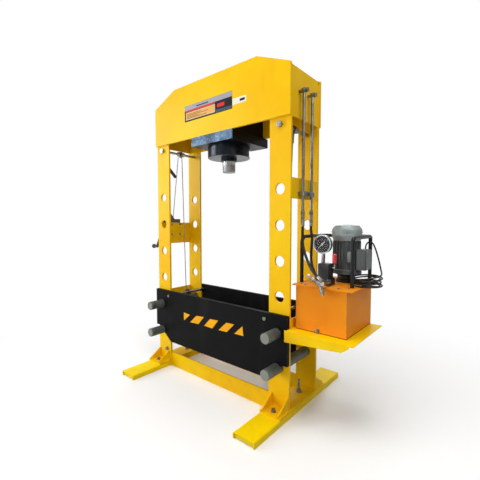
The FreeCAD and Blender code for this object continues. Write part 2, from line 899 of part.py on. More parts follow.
def make_winch_frame():
    """The winch's two cheeks, the plate under them and the bar between their ears."""
    low = winch_frame_bottom
    high = low + winch_frame_height
    half = winch_half_width
    outline = [(-half, low), (-half, high + ear_height), (ear_width - half, high + ear_height),
               (ear_width + ear_slope - half, high), (half, high), (half, low)]
    outer = slice_yz(outline, -winch_outer, winch_wall - winch_outer)
    inner = slice_yz(outline, -side_outer - winch_wall, -side_outer)
    floor = block(-winch_outer, -side_outer, -half, half, low, low + winch_wall)
    ear = V(-winch_outer, ear_width / 2 - half, high + ear_height / 2)
    bar = disc(ear_bar_diameter / 2, winch_reach, ear, X_AXIS)
    frame = joined([outer, inner, floor, bar])
    for z in (drum_height, pinion_height):
        place = V(-winch_outer - 1, 0, z)
        frame = frame.cut(disc(winch_shaft_diameter / 2 + running_fit, winch_reach + 2, place, X_AXIS))
    return frame


def make_drum():
    """The drum with its gear and its shaft."""
    flange = drum_flange_diameter / 2
    thick = drum_flange_thickness
    shaft = winch_reach + shaft_end - side_play
    outer_end = V(-drum_outer, 0, drum_height)
    return joined([disc(winch_shaft_diameter / 2, shaft, V(-winch_outer - shaft_end, 0, drum_height), X_AXIS),
                   make_gear(gear_teeth, drum_height),
                   disc(flange, thick, outer_end, X_AXIS),
                   disc(drum_core_diameter / 2, drum_outer - drum_inner, outer_end, X_AXIS),
                   disc(flange, thick, V(-drum_inner - thick, 0, drum_height), X_AXIS)])


def crank_tip():
    """The crank's end at rest, where it hangs down and leans to the front."""
    lean = math.radians(crank_lean)
    return V(-crank_outer, -crank_length * math.sin(lean), pinion_height - crank_length * math.cos(lean))


def make_crank():
    """The pinion shaft with its pinion, ratchet wheel, arm and grip pin."""
    place = V(-crank_outer, 0, pinion_height)
    half = crank_arm_width / 2
    thick = crank_arm_thickness
    ratchet = V(-winch_outer - side_play - ratchet_width, 0, pinion_height)
    arm = block(-crank_outer, thick - crank_outer, -half, half, pinion_height - crank_length, pinion_height)
    arm.rotate(place, X_AXIS, -crank_lean)
    return joined([disc(winch_shaft_diameter / 2, crank_outer - side_outer - side_play, place, X_AXIS),
                   make_gear(pinion_teeth, pinion_height),
                   disc(ratchet_diameter / 2, ratchet_width, ratchet, X_AXIS),
                   disc(half, thick, place, X_AXIS),
                   arm,
                   disc(half, thick, crank_tip(), X_AXIS),
                   hexagon(crank_nut_size, thick, place, -X_AXIS),
                   disc(grip_pin_diameter / 2, grip_length - grip_pin_gap, crank_tip(), -X_AXIS)])


def make_grip():
    """The turning grip, with a slim neck and a rounded end."""
    bore = grip_pin_diameter / 2 + running_fit
    radius = grip_diameter / 2
    neck = 0.62 * radius
    length = grip_length - side_play
    deep = length - grip_end_wall
    points = [(bore, 0), (neck, 0), (neck, 0.35 * length), (radius, 0.62 * length), (radius, 0.85 * length),
              (0.8 * radius, 0.96 * length), (0.5 * radius, length), (0, length), (0, deep), (bore, deep)]
    return turned(points, crank_tip() - X_AXIS * side_play, -X_AXIS)


def make_pawl():
    """The catch above the ratchet wheel, with its pivot screw, lifted clear of the wheel."""
    face = -winch_outer
    z = pinion_height + ratchet_diameter / 2 + pawl_rise
    tip = 4.0
    heel = tip - pawl_length
    outline = [(tip, z - 4), (tip - 8, z - 5), (heel, z - 3), (heel - 5, z + 3), (heel, z + 7), (tip, z + 3)]
    plate = slice_yz(outline, face - pawl_thickness, face)
    screw = V(face - pawl_thickness - 2, heel + 3, z + 2)
    pivot = disc(pawl_pivot_diameter / 2, pawl_thickness + 2, screw, X_AXIS)
    return joined([plate, pivot])


# ---- fasteners of the frame and the tank ----
def bolt(size, head, place, axis):
    """A hexagon on its washer."""
    washer = disc(size / math.sqrt(3) + washer_margin, washer_thickness, place, axis)
    return joined([washer, hexagon(size, head, place + axis * washer_thickness, axis)])


def make_fasteners():
    """The bolts of the feet, the studs, the earth bolt, and the screws of the lid, drain and winch."""
    solids = []
    for side in (-1, 1):
        centre = side * foot_centre
        for y in (-1, 1):
            place = V(centre, y * (base_length / 2 - foot_bolt_inset), base_top)
            solids.append(bolt(foot_bolt_size, foot_bolt_height, place, Z_AXIS))
        stud = V(centre, stud_y, base_top)
        nut = bolt(stud_nut_size, stud_nut_height, stud, Z_AXIS)
        solids.append(joined([nut, disc(stud_diameter / 2, stud_length, stud, Z_AXIS)]))
    earth = V(earth_bolt_shift - upright_spread, -frame_front, earth_bolt_rise)
    solids.append(bolt(earth_bolt_size, earth_bolt_height, earth, -Y_AXIS))
    right = tank_left + tank_width
    back = tank_front + tank_depth
    inset = lid_screw_inset
    corner = lid_screw_corner
    for along, across in ((corner, inset), (inset, corner)):
        for x in (tank_left + along, right - along):
            for y in (tank_front + across, back - across):
                solids.append(disc(lid_screw_size / 2, lid_screw_head, V(x, y, lid_top), Z_AXIS))
    for y in (-winch_bolt_spread, winch_bolt_spread):
        for rise in (winch_bolt_low, winch_bolt_high):
            head = V(-side_outer - winch_wall, y, winch_frame_bottom + rise)
            nut = V(side_plate_thickness - side_outer, y, head.z)
            solids.append(hexagon(winch_bolt_size, winch_bolt_head, head, -X_AXIS))
            solids.append(hexagon(winch_bolt_size, winch_bolt_head, nut, X_AXIS))
    drain = V(tank_left + drain_share * tank_width, tank_front, shelf_top + drain_height)
    solids.append(bolt(drain_size, drain_size / 2, drain, -Y_AXIS))
    return Part.makeCompound(solids)


def make_peg():
    """A short sleeved peg behind the front-left bar."""
    start = V(-upright_spread - peg_shift, -bar_inner, head_bottom - peg_drop)
    lean = math.radians(peg_lean)
    along = V(0, math.cos(lean), -math.sin(lean))
    sunk = peg_diameter
    rod = disc(peg_diameter / 2, peg_length, start - along * sunk, along)
    sleeve = disc(sleeve_diameter / 2, sleeve_length, start + along * (peg_length - sunk), along)
    bar = block(-side_outer, side_outer, -frame_front - peg_length, -bar_inner, 0, head_bottom)
    return joined([rod, sleeve]).cut(bar)


# ---- shelf and tank ----
def make_shelf():
    under = shelf_top - shelf_wall
    top = block(shelf_left, shelf_right, shelf_front, shelf_back, under, shelf_top)
    left = shelf_left - shelf_flange_left_reach
    outline = [(left, shelf_top), (left, shelf_top - shelf_flange_height),
               (shelf_right - shelf_flange_slope_end, shelf_top - shelf_flange_end_height),
               (shelf_right - shelf_flange_tip, shelf_top - shelf_flange_tip_height),
               (shelf_right - shelf_flange_tip, shelf_top)]
    front = slice_xz(outline, shelf_front, shelf_front + shelf_wall)
    back_outline = [(shelf_left, shelf_top), (shelf_left, shelf_top - shelf_flange_height)] + outline[2:]
    back = slice_xz(back_outline, shelf_back - shelf_wall, shelf_back)
    mount = block(side_outer, shelf_left, -bar_inner, bar_inner, shelf_top - shelf_flange_height, shelf_top)
    rib = block(shelf_left, shelf_right - shelf_flange_slope_end, -shelf_wall, shelf_wall,
                under - shelf_rib_height, under)
    return joined([top, front, back, mount, rib])


def make_tank():
    right = tank_left + tank_width
    back = tank_front + tank_depth
    top = shelf_top + tank_height
    outer = block(tank_left, right, tank_front, back, shelf_top, top)
    w = tank_wall
    hollow = block(tank_left + w, right - w, tank_front + w, back - w, shelf_top + w, top - w)
    r = tank_rim
    mouth = block(tank_left + r, right - r, tank_front + r, back - r, top - 2 * w, top + w)
    return outer.cut(hollow).cut(mouth)


def make_lid():
    right = tank_left + tank_width
    back = tank_front + tank_depth
    under = shelf_top + tank_height
    plate = block(tank_left - lid_overhang, right + lid_right_overhang, tank_front - lid_overhang,
                  back + lid_overhang, under, lid_top)
    plate = plate.cut(disc(pump_diameter / 2 - 10, 20, V(motor_x, motor_y, under - 1), Z_AXIS))
    cap_place = V(tank_left + cap_inset_x, back - cap_inset_y, lid_top)
    cap = joined([disc(cap_diameter / 2, cap_collar, cap_place, Z_AXIS),
                  hexagon(cap_size, cap_height, cap_place + Z_AXIS * cap_collar, Z_AXIS)])
    return joined([plate, cap])


# ---- motor and pump ----
def make_pump():
    """The black adaptor on the lid and the gear pump with its strainer under it."""
    place = V(motor_x, motor_y, lid_top)
    hole = motor_shaft_diameter / 2 + 1
    neck = adaptor_diameter / 2 - 8
    rim = adaptor_diameter / 2
    adaptor = turned([(hole, 0), (rim, 0), (rim, 12), (neck, 18), (neck, 36), (rim, 42),
                      (rim, adaptor_height), (hole, adaptor_height)], place, Z_AXIS)
    body = pump_diameter / 2
    sunk = body - 10
    under = lid_thickness
    pump = turned([(hole, 0), (sunk, 0), (sunk, -under), (body, -under), (body, -under - pump_length),
                   (strainer_diameter / 2, -under - pump_length),
                   (strainer_diameter / 2, -under - pump_length - strainer_length),
                   (0, -under - pump_length - strainer_length), (0, -under - 30), (hole, -under - 30)],
                  place, Z_AXIS)
    return joined([adaptor, pump])


def make_motor():
    """The finned stator housing with its foot flange and top bearing plate."""
    place = V(motor_x, motor_y, 0)
    body = motor_body_diameter / 2
    bore = motor_bore / 2
    shaft = motor_shaft_diameter / 2 + running_fit
    top = fan_cover_bottom
    flange = flange_diameter / 2
    low = motor_body_bottom
    points = [(shaft, motor_base), (flange, motor_base), (flange, low), (body + 4, low), (body, low + 8),
              (body, top), (shaft, top), (shaft, top - 10), (bore, top - 10), (bore, low + 4), (shaft, low + 4)]
    housing = turned(points, place, Z_AXIS)
    fins = []
    for i in range(fin_count):
        angle = 360.0 / fin_count * (i + 0.5)
        fin = block(motor_x + body - 3, motor_x + body + fin_reach, motor_y - fin_thickness / 2,
                    motor_y + fin_thickness / 2, motor_body_bottom + 12, top)
        fin.rotate(place, Z_AXIS, angle)
        fins.append(fin)
    return joined([housing] + fins)


def make_fan_cover():
    place = V(motor_x, motor_y, 0)
    outer = fan_cover_diameter / 2
    wall = fan_cover_wall
    body = motor_body_diameter / 2
    rise = fan_cover_round
    outside = [(body, fan_cover_bottom), (outer, fan_cover_bottom), (outer, fan_cover_top - rise),
               (outer - 0.3 * rise, fan_cover_top - 0.3 * rise),
               (outer - rise, fan_cover_top), (0, fan_cover_top)]
    inside = [(0, fan_cover_top - wall), (outer - rise - wall, fan_cover_top - wall),
              (outer - 0.3 * rise - wall, fan_cover_top - 0.3 * rise - wall),
              (outer - wall, fan_cover_top - rise - wall), (outer - wall, fan_cover_bottom + wall),
              (body, fan_cover_bottom + wall)]
    cover = turned(outside + inside, place, Z_AXIS)
    slots = []
    for i in range(fan_slot_count):
        slot = block(motor_x + 18, motor_x + outer - rise - 6, motor_y - 2.5, motor_y + 2.5,
                     fan_cover_top - 2 * wall, fan_cover_top + 1)
        slot.rotate(place, Z_AXIS, 360.0 / fan_slot_count * i)
        slots.append(slot)
    return cover.cut(joined(slots))


def make_rotor():
    """The shaft with the rotor core and the cooling fan."""
    shaft = motor_shaft_diameter / 2
    core_low = motor_body_bottom + 16
    core_high = fan_cover_bottom - 22
    fan_low = fan_cover_bottom + 16
    pieces = [disc(shaft, fan_low + 30 - (lid_top - 24), V(motor_x, motor_y, lid_top - 24), Z_AXIS),
              disc(rotor_diameter / 2, core_high - core_low, V(motor_x, motor_y, core_low), Z_AXIS),
              disc(24, 28, V(motor_x, motor_y, fan_low), Z_AXIS),
              disc(fan_diameter / 2, 3, V(motor_x, motor_y, fan_low), Z_AXIS)]
    for i in range(fan_blade_count):
        blade = block(motor_x + 20, motor_x + fan_diameter / 2 - 2, motor_y - 1.5, motor_y + 1.5,
                      fan_low, fan_low + 26)
        blade.rotate(V(motor_x, motor_y, 0), Z_AXIS, 360.0 / fan_blade_count * i)
        pieces.append(blade)
    return joined(pieces)


def make_terminal_box():
    """The box on the motor's right-hand side, with its lid and the cable gland behind it."""
    x0 = motor_x + motor_body_diameter / 2
    seat = x0 + fin_reach - 3
    low = motor_body_bottom + terminal_box_rise
    high = low + terminal_box_height
    y0 = motor_y - terminal_box_depth / 2
    y1 = motor_y + terminal_box_depth / 2
    body = block(seat, seat + terminal_box_width, y0, y1, low, high)
    neck = block(x0 - 6, seat + 1, motor_y - 24, motor_y + 24, low + 20, high - 20)
    stator = disc(motor_body_diameter / 2, motor_body_length, V(motor_x, motor_y, motor_body_bottom), Z_AXIS)
    neck = neck.cut(stator)
    lid = block(seat + terminal_box_width, seat + terminal_box_width + 5, y0 + 3, y1 - 3, low + 3, high - 3)
    tip = cable_route[0]
    elbow = V(tip.x, tip.y, tip.z - gland_length)
    nut = hexagon(20, 6, V(tip.x, y1, elbow.z), Y_AXIS)
    arm = disc(9, tip.y - y1, V(tip.x, y1, elbow.z), Y_AXIS)
    knee = Part.makeSphere(9, elbow)
    sleeve = disc(9, gland_length - 14, elbow, Z_AXIS)
    cap = Part.makeCone(9, 6, 14, elbow + Z_AXIS * (gland_length - 14), Z_AXIS)
    box = joined([body, neck, lid, nut, arm, knee, sleeve, cap])
    return box.cut(make_fin_clearance())


def make_fin_clearance():
    """The fins that the terminal box's neck stands between."""
    body = motor_body_diameter / 2
    fins = []
    for i in (0, 1, fin_count - 2, fin_count - 1):
        fin = block(motor_x + body - 3, motor_x + body + fin_reach, motor_y - fin_thickness / 2,
                    motor_y + fin_thickness / 2, motor_body_bottom + 12, fan_cover_bottom)
        fin.rotate(V(motor_x, motor_y, 0), Z_AXIS, 360.0 / fin_count * (i + 0.5))
        fins.append(fin)
    return joined(fins)


# ---- valve block, lever and gauge ----
def make_valve_block():
    margin = block_foot_margin
    right = block_left + block_size
    back = block_front + block_size
    low = lid_top + block_foot_height
    foot = block(block_left - margin, right + margin, block_front - margin, back + margin, lid_top, low)
    body = block(block_left, right, block_front, back, low, block_top)
    lug = disc(lever_diameter + 1, lever_hub_gap + 1, V(lever_x - 1, lever_y, lever_z), X_AXIS)
    pivot = disc(lever_pivot, lever_pivot_length, V(lever_x + lever_hub_gap, lever_y, lever_z), X_AXIS)
    return joined([foot, body, lug, pivot])


def make_lever():
    """The valve lever on its pivot, with the socket for its knob."""
    x = lever_x + lever_hub_gap + side_play
    middle = x + lever_hub_length / 2
    hub = disc(lever_diameter - 1, lever_hub_length, V(x, lever_y, lever_z), X_AXIS)
    stick = disc(lever_diameter / 2, lever_height, V(middle, lever_y, lever_z), Z_AXIS)
    hole = disc(lever_pivot + running_fit, lever_hub_length + 2, V(x - 1, lever_y, lever_z), X_AXIS)
    return joined([hub, stick]).cut(hole)


def make_knob():
    x = lever_x + lever_hub_gap + side_play + lever_hub_length / 2
    low = knob_rise
    inner = lever_diameter / 2
    radius = knob_diameter / 2
    depth = lever_height - low
    points = [(inner, 0), (radius - 2, 0), (radius, 3), (radius, knob_length - 5), (radius - 5, knob_length),
              (0, knob_length), (0, depth), (inner, depth)]
    return turned(points, V(x, lever_y, lever_z + low), Z_AXIS)


def gauge_centre():
    """The middle of the case's back."""
    return V(gauge_x, gauge_y + gauge_depth / 2, gauge_height)


def make_gauge_case():
    """The round case with its open face to the front, the stem and its hexagon."""
    centre = gauge_centre()
    outer = gauge_diameter / 2
    inner = outer - gauge_bezel
    recess = gauge_dial_recess
    spindle = 2.0
    points = [(0, recess), (inner, recess), (inner, 0), (outer, 0), (outer, 5), (outer - 2, 7),
              (outer - 2, gauge_depth - 3), (outer - 5, gauge_depth), (0, gauge_depth)]
    front = centre - Y_AXIS * gauge_depth
    case = turned(points, front, Y_AXIS)
    post = disc(spindle, recess - 2, front + Y_AXIS * 2, Y_AXIS)
    low = V(gauge_x, gauge_y, block_top)
    length = gauge_height - outer + 3 - block_top
    stem = [disc(7, length, low, Z_AXIS), hexagon(stem_hex, 16, low, Z_AXIS),
            hexagon(stem_hex - 3, 14, low + Z_AXIS * (length - 16), Z_AXIS)]
    return joined([case, post] + stem)


def make_needle():
    """The pointer on its spindle, at rest at zero, down and to the left."""
    centre = gauge_centre() - Y_AXIS * (gauge_depth - 3)
    hub = disc(5, 2, centre, Y_AXIS)
    outline = [(-2.2, -needle_tail), (2.2, -needle_tail), (1.4, -8), (0.6, needle_length),
               (-0.6, needle_length), (-1.4, -8)]
    pointer = slice_xz([(centre.x + x, centre.z + z) for x, z in outline], centre.y + 0.3, centre.y + 1.3)
    needle = joined([hub, pointer]).cut(disc(2 + running_fit, 6, centre - Y_AXIS, Y_AXIS))
    needle.rotate(centre, Y_AXIS, needle_rest)
    return needle


# ---- handle frame, pipes, hoses and cable ----
def make_handle():
    radius = handle_tube / 2
    low = lid_top
    left = [V(handle_left, handle_front, low), V(handle_left, handle_front, handle_top),
            V(handle_left, handle_back, handle_top), V(handle_right, handle_back, handle_top),
            V(handle_right, handle_front + 10, handle_top), V(handle_right, handle_front + 10, low)]
    small = handle_tube
    bar = tube(route(left, [handle_bend, small, small, small]), radius)
    posts = []
    for x in (handle_left, handle_right):
        posts.append(disc(radius, handle_top - low, V(x, handle_back - small * 0.3, low), Z_AXIS))
    return joined([bar] + posts)


def make_pipes():
    """Two steel pipes from the head's right end to their hose ends, and their clamp."""
    radius = pipe_diameter / 2
    solids = []
    for y in (pipe_front_y, pipe_back_y):
        inlet = port_depth(y)
        feed = disc(radius, pipe_x - inlet, V(inlet, y, pipe_top), X_AXIS)
        rise = disc(radius, pipe_top - pipe_bottom, V(pipe_x, y, pipe_bottom), Z_AXIS)
        face = pipe_x + banjo_width / 2
        eye = disc(banjo_radius, banjo_width, V(face - banjo_width, y, pipe_top), X_AXIS)
        head = hexagon(port_hex, banjo_head, V(face, y, pipe_top), X_AXIS)
        nut = hexagon(port_hex, pipe_nut_length, V(pipe_x, y, pipe_bottom - pipe_nut_drop), Z_AXIS)
        solids.append(joined([feed, rise, eye, head, nut]))
    low = clamp_height - clamp_size / 2
    half = clamp_size / 2
    clamp = block(side_outer, pipe_x + half, pipe_front_y - half, pipe_back_y + half, low, low + clamp_size)
    middle = (pipe_front_y + pipe_back_y) / 2
    bolt = hexagon(13, 8, V(pipe_x + half, middle, clamp_height), X_AXIS)
    clamp = joined([clamp, bolt])
    for y in (pipe_front_y, pipe_back_y):
        clamp = clamp.cut(disc(radius, clamp_size + 2, V(pipe_x, y, low - 1), Z_AXIS))
    return Part.makeCompound(solids + [clamp])


# The hoses' routes, from the pipes' ends to the fittings.
front_hose_route = [V(600, -72, 1042), V(600, -72, 1005), V(605, -82, 948), V(632, -100, 893),
                    V(672, -124, 837), V(708, -145, 806), V(740, -160, 790)]
back_hose_route = [V(600, 21, 1042), V(600, 21, 1018), V(614, 13, 975), V(616, 0, 920), V(625, -22, 865),
                   V(645, -40, 815), V(670, -48, 778)]
manifold_x = block_left + block_size + manifold_shift
manifold_centre = V(manifold_x, front_hose_route[-1].y, lid_top + manifold_rise)

# The cable's route from its gland down to the coil.
cable_route = [V(852, 171, 904), V(852, 171, 936), V(871, 158, 958), V(900, 139, 957), V(917, 130, 930),
               V(930, 128, 893), V(940, 131, 853), V(946, 138, 815)]


def coil_turns():
    """How many turns the coil has: one a layer, and half a turn for each climb."""
    return coil_layers - 1 + coil_top_share + (coil_layers - 1) / 2


def coil_point(turn):
    """A point of the coil after so many turns from its inner end at the bottom."""
    layer = int(turn / 1.5 + 1e-9)
    share = turn - 1.5 * layer
    radius_share = min(share, 1.0)
    climb = max(share - 1.0, 0.0) / 0.5
    if layer % 2 == 1:
        radius_share = 1.0 - radius_share
    radius = coil_inner_radius + (coil_outer_radius - coil_inner_radius) * radius_share
    level = layer + climb
    angle = math.radians(coil_end_angle) - 2 * math.pi * (coil_turns() - turn)
    height = coil_lift * level + coil_fan * level * (1 + math.cos(angle)) / 2
    return V(coil_x + radius * math.cos(angle), coil_y + radius * math.sin(angle),
             lid_top + cable_diameter / 2 + sliding_gap + height)


def coil_heading(turn):
    """The coil's direction, as the slope between two near points, kept level at its ends."""
    low = max(turn - 0.01, 0.0)
    high = min(turn + 0.01, coil_turns())
    step = coil_point(high) - coil_point(low)
    return step * (1 / step.Length)


def coil_end():
    """The top end of the coil, after a straight run of one diameter, and its direction."""
    heading = coil_heading(coil_turns())
    return coil_point(coil_turns()) + heading * cable_diameter, heading


def make_coil():
    radius = cable_diameter / 2
    first = coil_point(0)
    heading = coil_heading(0)
    inward = V(coil_x - first.x, coil_y - first.y, 0)
    inward = inward * (1 / inward.Length)
    turn_centre = first + inward * coil_tail_radius
    back = V(-heading.x, -heading.y, 0)
    quarter = turn_centre + back * coil_tail_radius
    bend = turn_centre + (back - inward) * (coil_tail_radius / math.sqrt(2))
    edges = [Part.LineSegment(quarter + inward * cable_diameter, quarter).toShape(),
             Part.Arc(quarter, bend, first).toShape()]
    count = math.ceil(4 * coil_turns())
    step = coil_turns() / count
    for i in range(count):
        here = i * step
        there = here + step
        edges += biarc(coil_point(here), coil_heading(here), coil_point(there), coil_heading(there))
    end, out = coil_end()
    edges.append(Part.LineSegment(coil_point(coil_turns()), end).toShape())
    coil = tube(edges, radius)
    check_tube("cable_coil", coil, edges, radius)
    print("cable_coil least gap", round(least_gap(edges, radius, 6 * cable_diameter), 2))
    return coil, quarter + inward * cable_diameter, inward


def make_cable():
    """The free stretch from the gland to the top of the coil."""
    end, out = coil_end()
    points = cable_route + [end + out * cable_last_run, end]
    radii = cord_radii(points)
    print("power_cable radii", [round(r) for r in radii])
    edges = route(points, radii)
    cable = tube(edges, cable_diameter / 2)
    check_tube("power_cable", cable, edges, cable_diameter / 2)
    return cable


def make_plug(place, along):
    """A plain round plug at the inner end of the coil, with two pins."""
    rise = V(0, 0, plug_diameter / 2 - cable_diameter / 2)
    relief = disc(cable_diameter / 2 + 0.8, plug_grip_length + 1, place + V(0, 0, 1.2), along)
    body = disc(plug_diameter / 2, plug_length, place + along * plug_grip_length + rise, along)
    side = V(-along.y, along.x, 0)
    pieces = [relief, body]
    for way in (-1, 1):
        start = place + along * (plug_grip_length + plug_length - 1) + rise + side * (way * 7)
        pieces.append(disc(2.4, plug_pin_length, start, along))
    return joined(pieces)


def make_hose(name, points):
    radius = hose_diameter / 2
    radii = cord_radii(points)
    print(name, "radii", [round(r) for r in radii])
    edges = route(points, radii)
    hose = tube(edges, radius)
    check_tube(name, hose, edges, radius)
    return hose


def make_ferrules():
    """The crimped sleeves between the pipes' nuts and the hoses."""
    solids = []
    for path in (front_hose_route, back_hose_route):
        top = path[0]
        length = pipe_bottom - pipe_nut_drop - top.z
        sleeve = disc(hose_ferrule_diameter / 2, length, top, Z_AXIS)
        lip = disc(hose_ferrule_diameter / 2 + 1.5, 6, top + Z_AXIS * (length - 12), Z_AXIS)
        solids.append(joined([sleeve, lip]))
    return solids


def hose_end(path):
    """The end of a hose and the direction in which it arrives."""
    along = path[-1] - path[-2]
    return path[-1], along * (1 / along.Length)


def make_couplers():
    """The adapter from the valve block, and the couplers on the hose ends."""
    middle = manifold_centre
    front = V(middle.x + 7, block_front - block_foot_margin, middle.z)
    end, into = hose_end(front_hose_route)
    drop = V(0.33, 0, -0.944)
    low = V(middle.x - 9, middle.y, middle.z)
    side = V(-0.88, 0, 0.475)
    left = V(middle.x - 14, middle.y, middle.z)
    pieces = [disc(7, front.y - middle.y, V(front.x, middle.y, middle.z), Y_AXIS),
              hexagon(20, 14, front, -Y_AXIS),
              hexagon(20, 14, V(front.x, middle.y + 11, middle.z), Y_AXIS),
              disc(10.5, 20, end, into), hexagon(19, 16, end + into * 16, into),
              disc(8, 24, low, drop), disc(10.5, 30, low + drop * 22, drop), disc(7, 14, low + drop * 50, drop),
              disc(7, 34, left, side), disc(10, 32, left + side * 26, side),
              hexagon(18, 12, left + side * 56, side),
              block(middle.x - 22, middle.x + 20, middle.y - 11, middle.y + 11, middle.z - 11, middle.z + 11)]
    return joined(pieces)


def make_back_union():
    """The elbow that takes the back hose into the valve block's side."""
    end, into = hose_end(back_hose_route)
    face = block_left - block_foot_margin
    corner = end + into * union_drop
    start = corner - X_AXIS * union_heel
    return joined([disc(hose_ferrule_diameter / 2, union_drop, end, into),
                   hexagon(union_size, face - start.x, V(start.x, end.y, corner.z), X_AXIS)])


def build():
    os.makedirs("parts", exist_ok=True)
    write("feet", Part.makeCompound([make_foot(-foot_centre), make_foot(foot_centre)]))
    write("base_plates", Part.makeCompound([make_base_plate(-foot_centre), make_base_plate(foot_centre)]))
    for side, word in ((-1, "left"), (1, "right")):
        front = make_upright(side)
        write("upright_front_" + word, front)
        write("upright_back_" + word, mirrored_y(front))
    write("tie_beams", make_tie_beams())
    write("side_plates_left", make_winch_plates())
    write("side_plates_right", Part.makeCompound(make_side_plates(1, pipe_plate_bottom, pipe_plate_height)))
    head_plate = make_head_plate()
    write("head_plate_front", head_plate)
    write("head_plate_back", mirrored_y(head_plate))
    write("head_ends", make_head_ends())
    write("head_covers", make_head_covers())
    write("cylinder_slab", make_slab())
    write("cylinder_barrel", make_barrel())
    write("cylinder_gland", make_gland())
    write("ram", make_ram())
    write("ram_nose", make_nose())
    bed_plate = make_bed_plate()
    write("bed_plate_front", bed_plate)
    write("bed_plate_back", mirrored_y(bed_plate))
    write("bed_ties", make_bed_ties())
    tie_bore = bed_tie_diameter / 2 + running_fit
    write("bed_sheave_left", make_wheel(-bed_tie_spread, bed_tie_height, tie_bore))
    write("bed_sheave_right", make_wheel(bed_tie_spread, bed_tie_height, tie_bore))
    for level, height in ((0, "lower"), (1, "upper")):
        for side, word in ((-1, "left"), (1, "right")):
            write("bed_pin_" + height + "_" + word, make_pin(side, level))
    write("pulley_rods", make_rods())
    write("rope_pulley", make_wheel(-upright_spread, rod_height, rod_diameter / 2 + running_fit))
    write("rope_anchor", make_anchor())
    write("lift_rope", make_rope())
    write("winch_frame", make_winch_frame())
    write("winch_drum", make_drum())
    write("winch_crank", make_crank())
    write("winch_grip", make_grip())
    write("winch_pawl", make_pawl())
    write("fasteners", make_fasteners())
    write("sleeved_peg", make_peg())
    write("pump_shelf", make_shelf())
    write("oil_tank", make_tank())
    write("tank_lid", make_lid())
    write("gear_pump", make_pump())
    write("motor_housing", make_motor())
    write("fan_cover", make_fan_cover())
    write("motor_rotor", make_rotor())
    write("terminal_box", make_terminal_box())
    write("valve_block", make_valve_block())
    write("valve_lever", make_lever())
    write("lever_knob", make_knob())
    write("gauge_case", make_gauge_case())
    write("gauge_needle", make_needle())
    write("handle_frame", make_handle())
    write("pressure_pipes", make_pipes())
    write("hose_front", make_hose("hose_front", front_hose_route))
    write("hose_back", make_hose("hose_back", back_hose_route))
    write("hose_fittings", Part.makeCompound(make_ferrules() + [make_couplers(), make_back_union()]))
    write("power_cable", make_cable())
    coil, tail, along = make_coil()
    write("cable_coil", coil)
    write("cable_plug", make_plug(tail, along))
    print(len(written), "pieces, origin at x =", middle_x())


build()
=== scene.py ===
import bpy
import bmesh
import json
import math
from mathutils import Matrix, Vector

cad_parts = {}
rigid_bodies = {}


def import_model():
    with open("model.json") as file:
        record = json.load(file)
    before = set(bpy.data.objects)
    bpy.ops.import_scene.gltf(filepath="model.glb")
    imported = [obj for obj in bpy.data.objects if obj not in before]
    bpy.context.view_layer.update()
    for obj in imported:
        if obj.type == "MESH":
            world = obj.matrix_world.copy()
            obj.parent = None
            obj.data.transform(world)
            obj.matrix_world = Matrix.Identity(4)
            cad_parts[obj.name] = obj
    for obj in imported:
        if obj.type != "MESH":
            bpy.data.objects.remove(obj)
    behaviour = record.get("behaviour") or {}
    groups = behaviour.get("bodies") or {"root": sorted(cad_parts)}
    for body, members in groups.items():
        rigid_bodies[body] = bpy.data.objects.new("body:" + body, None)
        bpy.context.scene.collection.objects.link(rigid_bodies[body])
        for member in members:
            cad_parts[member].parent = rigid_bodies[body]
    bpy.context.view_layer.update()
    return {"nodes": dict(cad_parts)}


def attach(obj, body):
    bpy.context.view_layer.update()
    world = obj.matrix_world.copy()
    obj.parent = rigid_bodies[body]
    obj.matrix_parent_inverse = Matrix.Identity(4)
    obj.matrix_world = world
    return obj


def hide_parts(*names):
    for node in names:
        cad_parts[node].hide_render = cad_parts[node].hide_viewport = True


# Hydraulic shop press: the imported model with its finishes, cords, labels, welds and small fittings.
# Routes and places are written in millimetres from the frame's middle.

bpy.ops.object.select_all(action='SELECT')
bpy.ops.object.delete()
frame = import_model()
nodes = frame["nodes"]
originShift = 0.0862  # the frame's middle lies this far left of the part's origin


def place(x, y, z):
    # to metres from the part's origin
    return Vector((x / 1000 - originShift, y / 1000, z / 1000))


def placed(spots):
    return [place(*spot) for spot in spots]


print("camera")
view = {"at": (1.39148, -1.62863, 1.06548), "tilt": 86.81, "turn": 40.31, "lens": 24.391, "sensor": 36.0,
        "far": 60.0}
bpy.ops.object.camera_add(location=view["at"],
                          rotation=(math.radians(view["tilt"]), 0, math.radians(view["turn"])))
camera = bpy.context.object
camera.name = "photoCamera"
camera.data.lens = view["lens"]
camera.data.sensor_width = view["sensor"]
camera.data.clip_end = view["far"]
bpy.context.scene.camera = camera


print("cords")
slimness = 0.01  # a point's radius, which the section is scaled by


def makeCord(name, points, thickness, resolution=4):
    # one smooth line through the route, with a round section
    curve = bpy.data.curves.new(name, 'CURVE')
    curve.dimensions = '3D'
    curve.bevel_depth = thickness / 2 / slimness
    curve.bevel_resolution = 3
    curve.use_fill_caps = True
    curve.resolution_u = resolution
    spline = curve.splines.new('NURBS')
    spline.points.add(len(points) - 1)
    for point, spot in zip(spline.points, points):
        point.co = (*spot, 1.0)
        point.radius = slimness
    spline.order_u = 3
    spline.use_endpoint_u = True
    cord = bpy.data.objects.new(name, curve)
    bpy.context.scene.collection.objects.link(cord)
    return cord


def between(a, b, share):
    return a + (b - a) * share


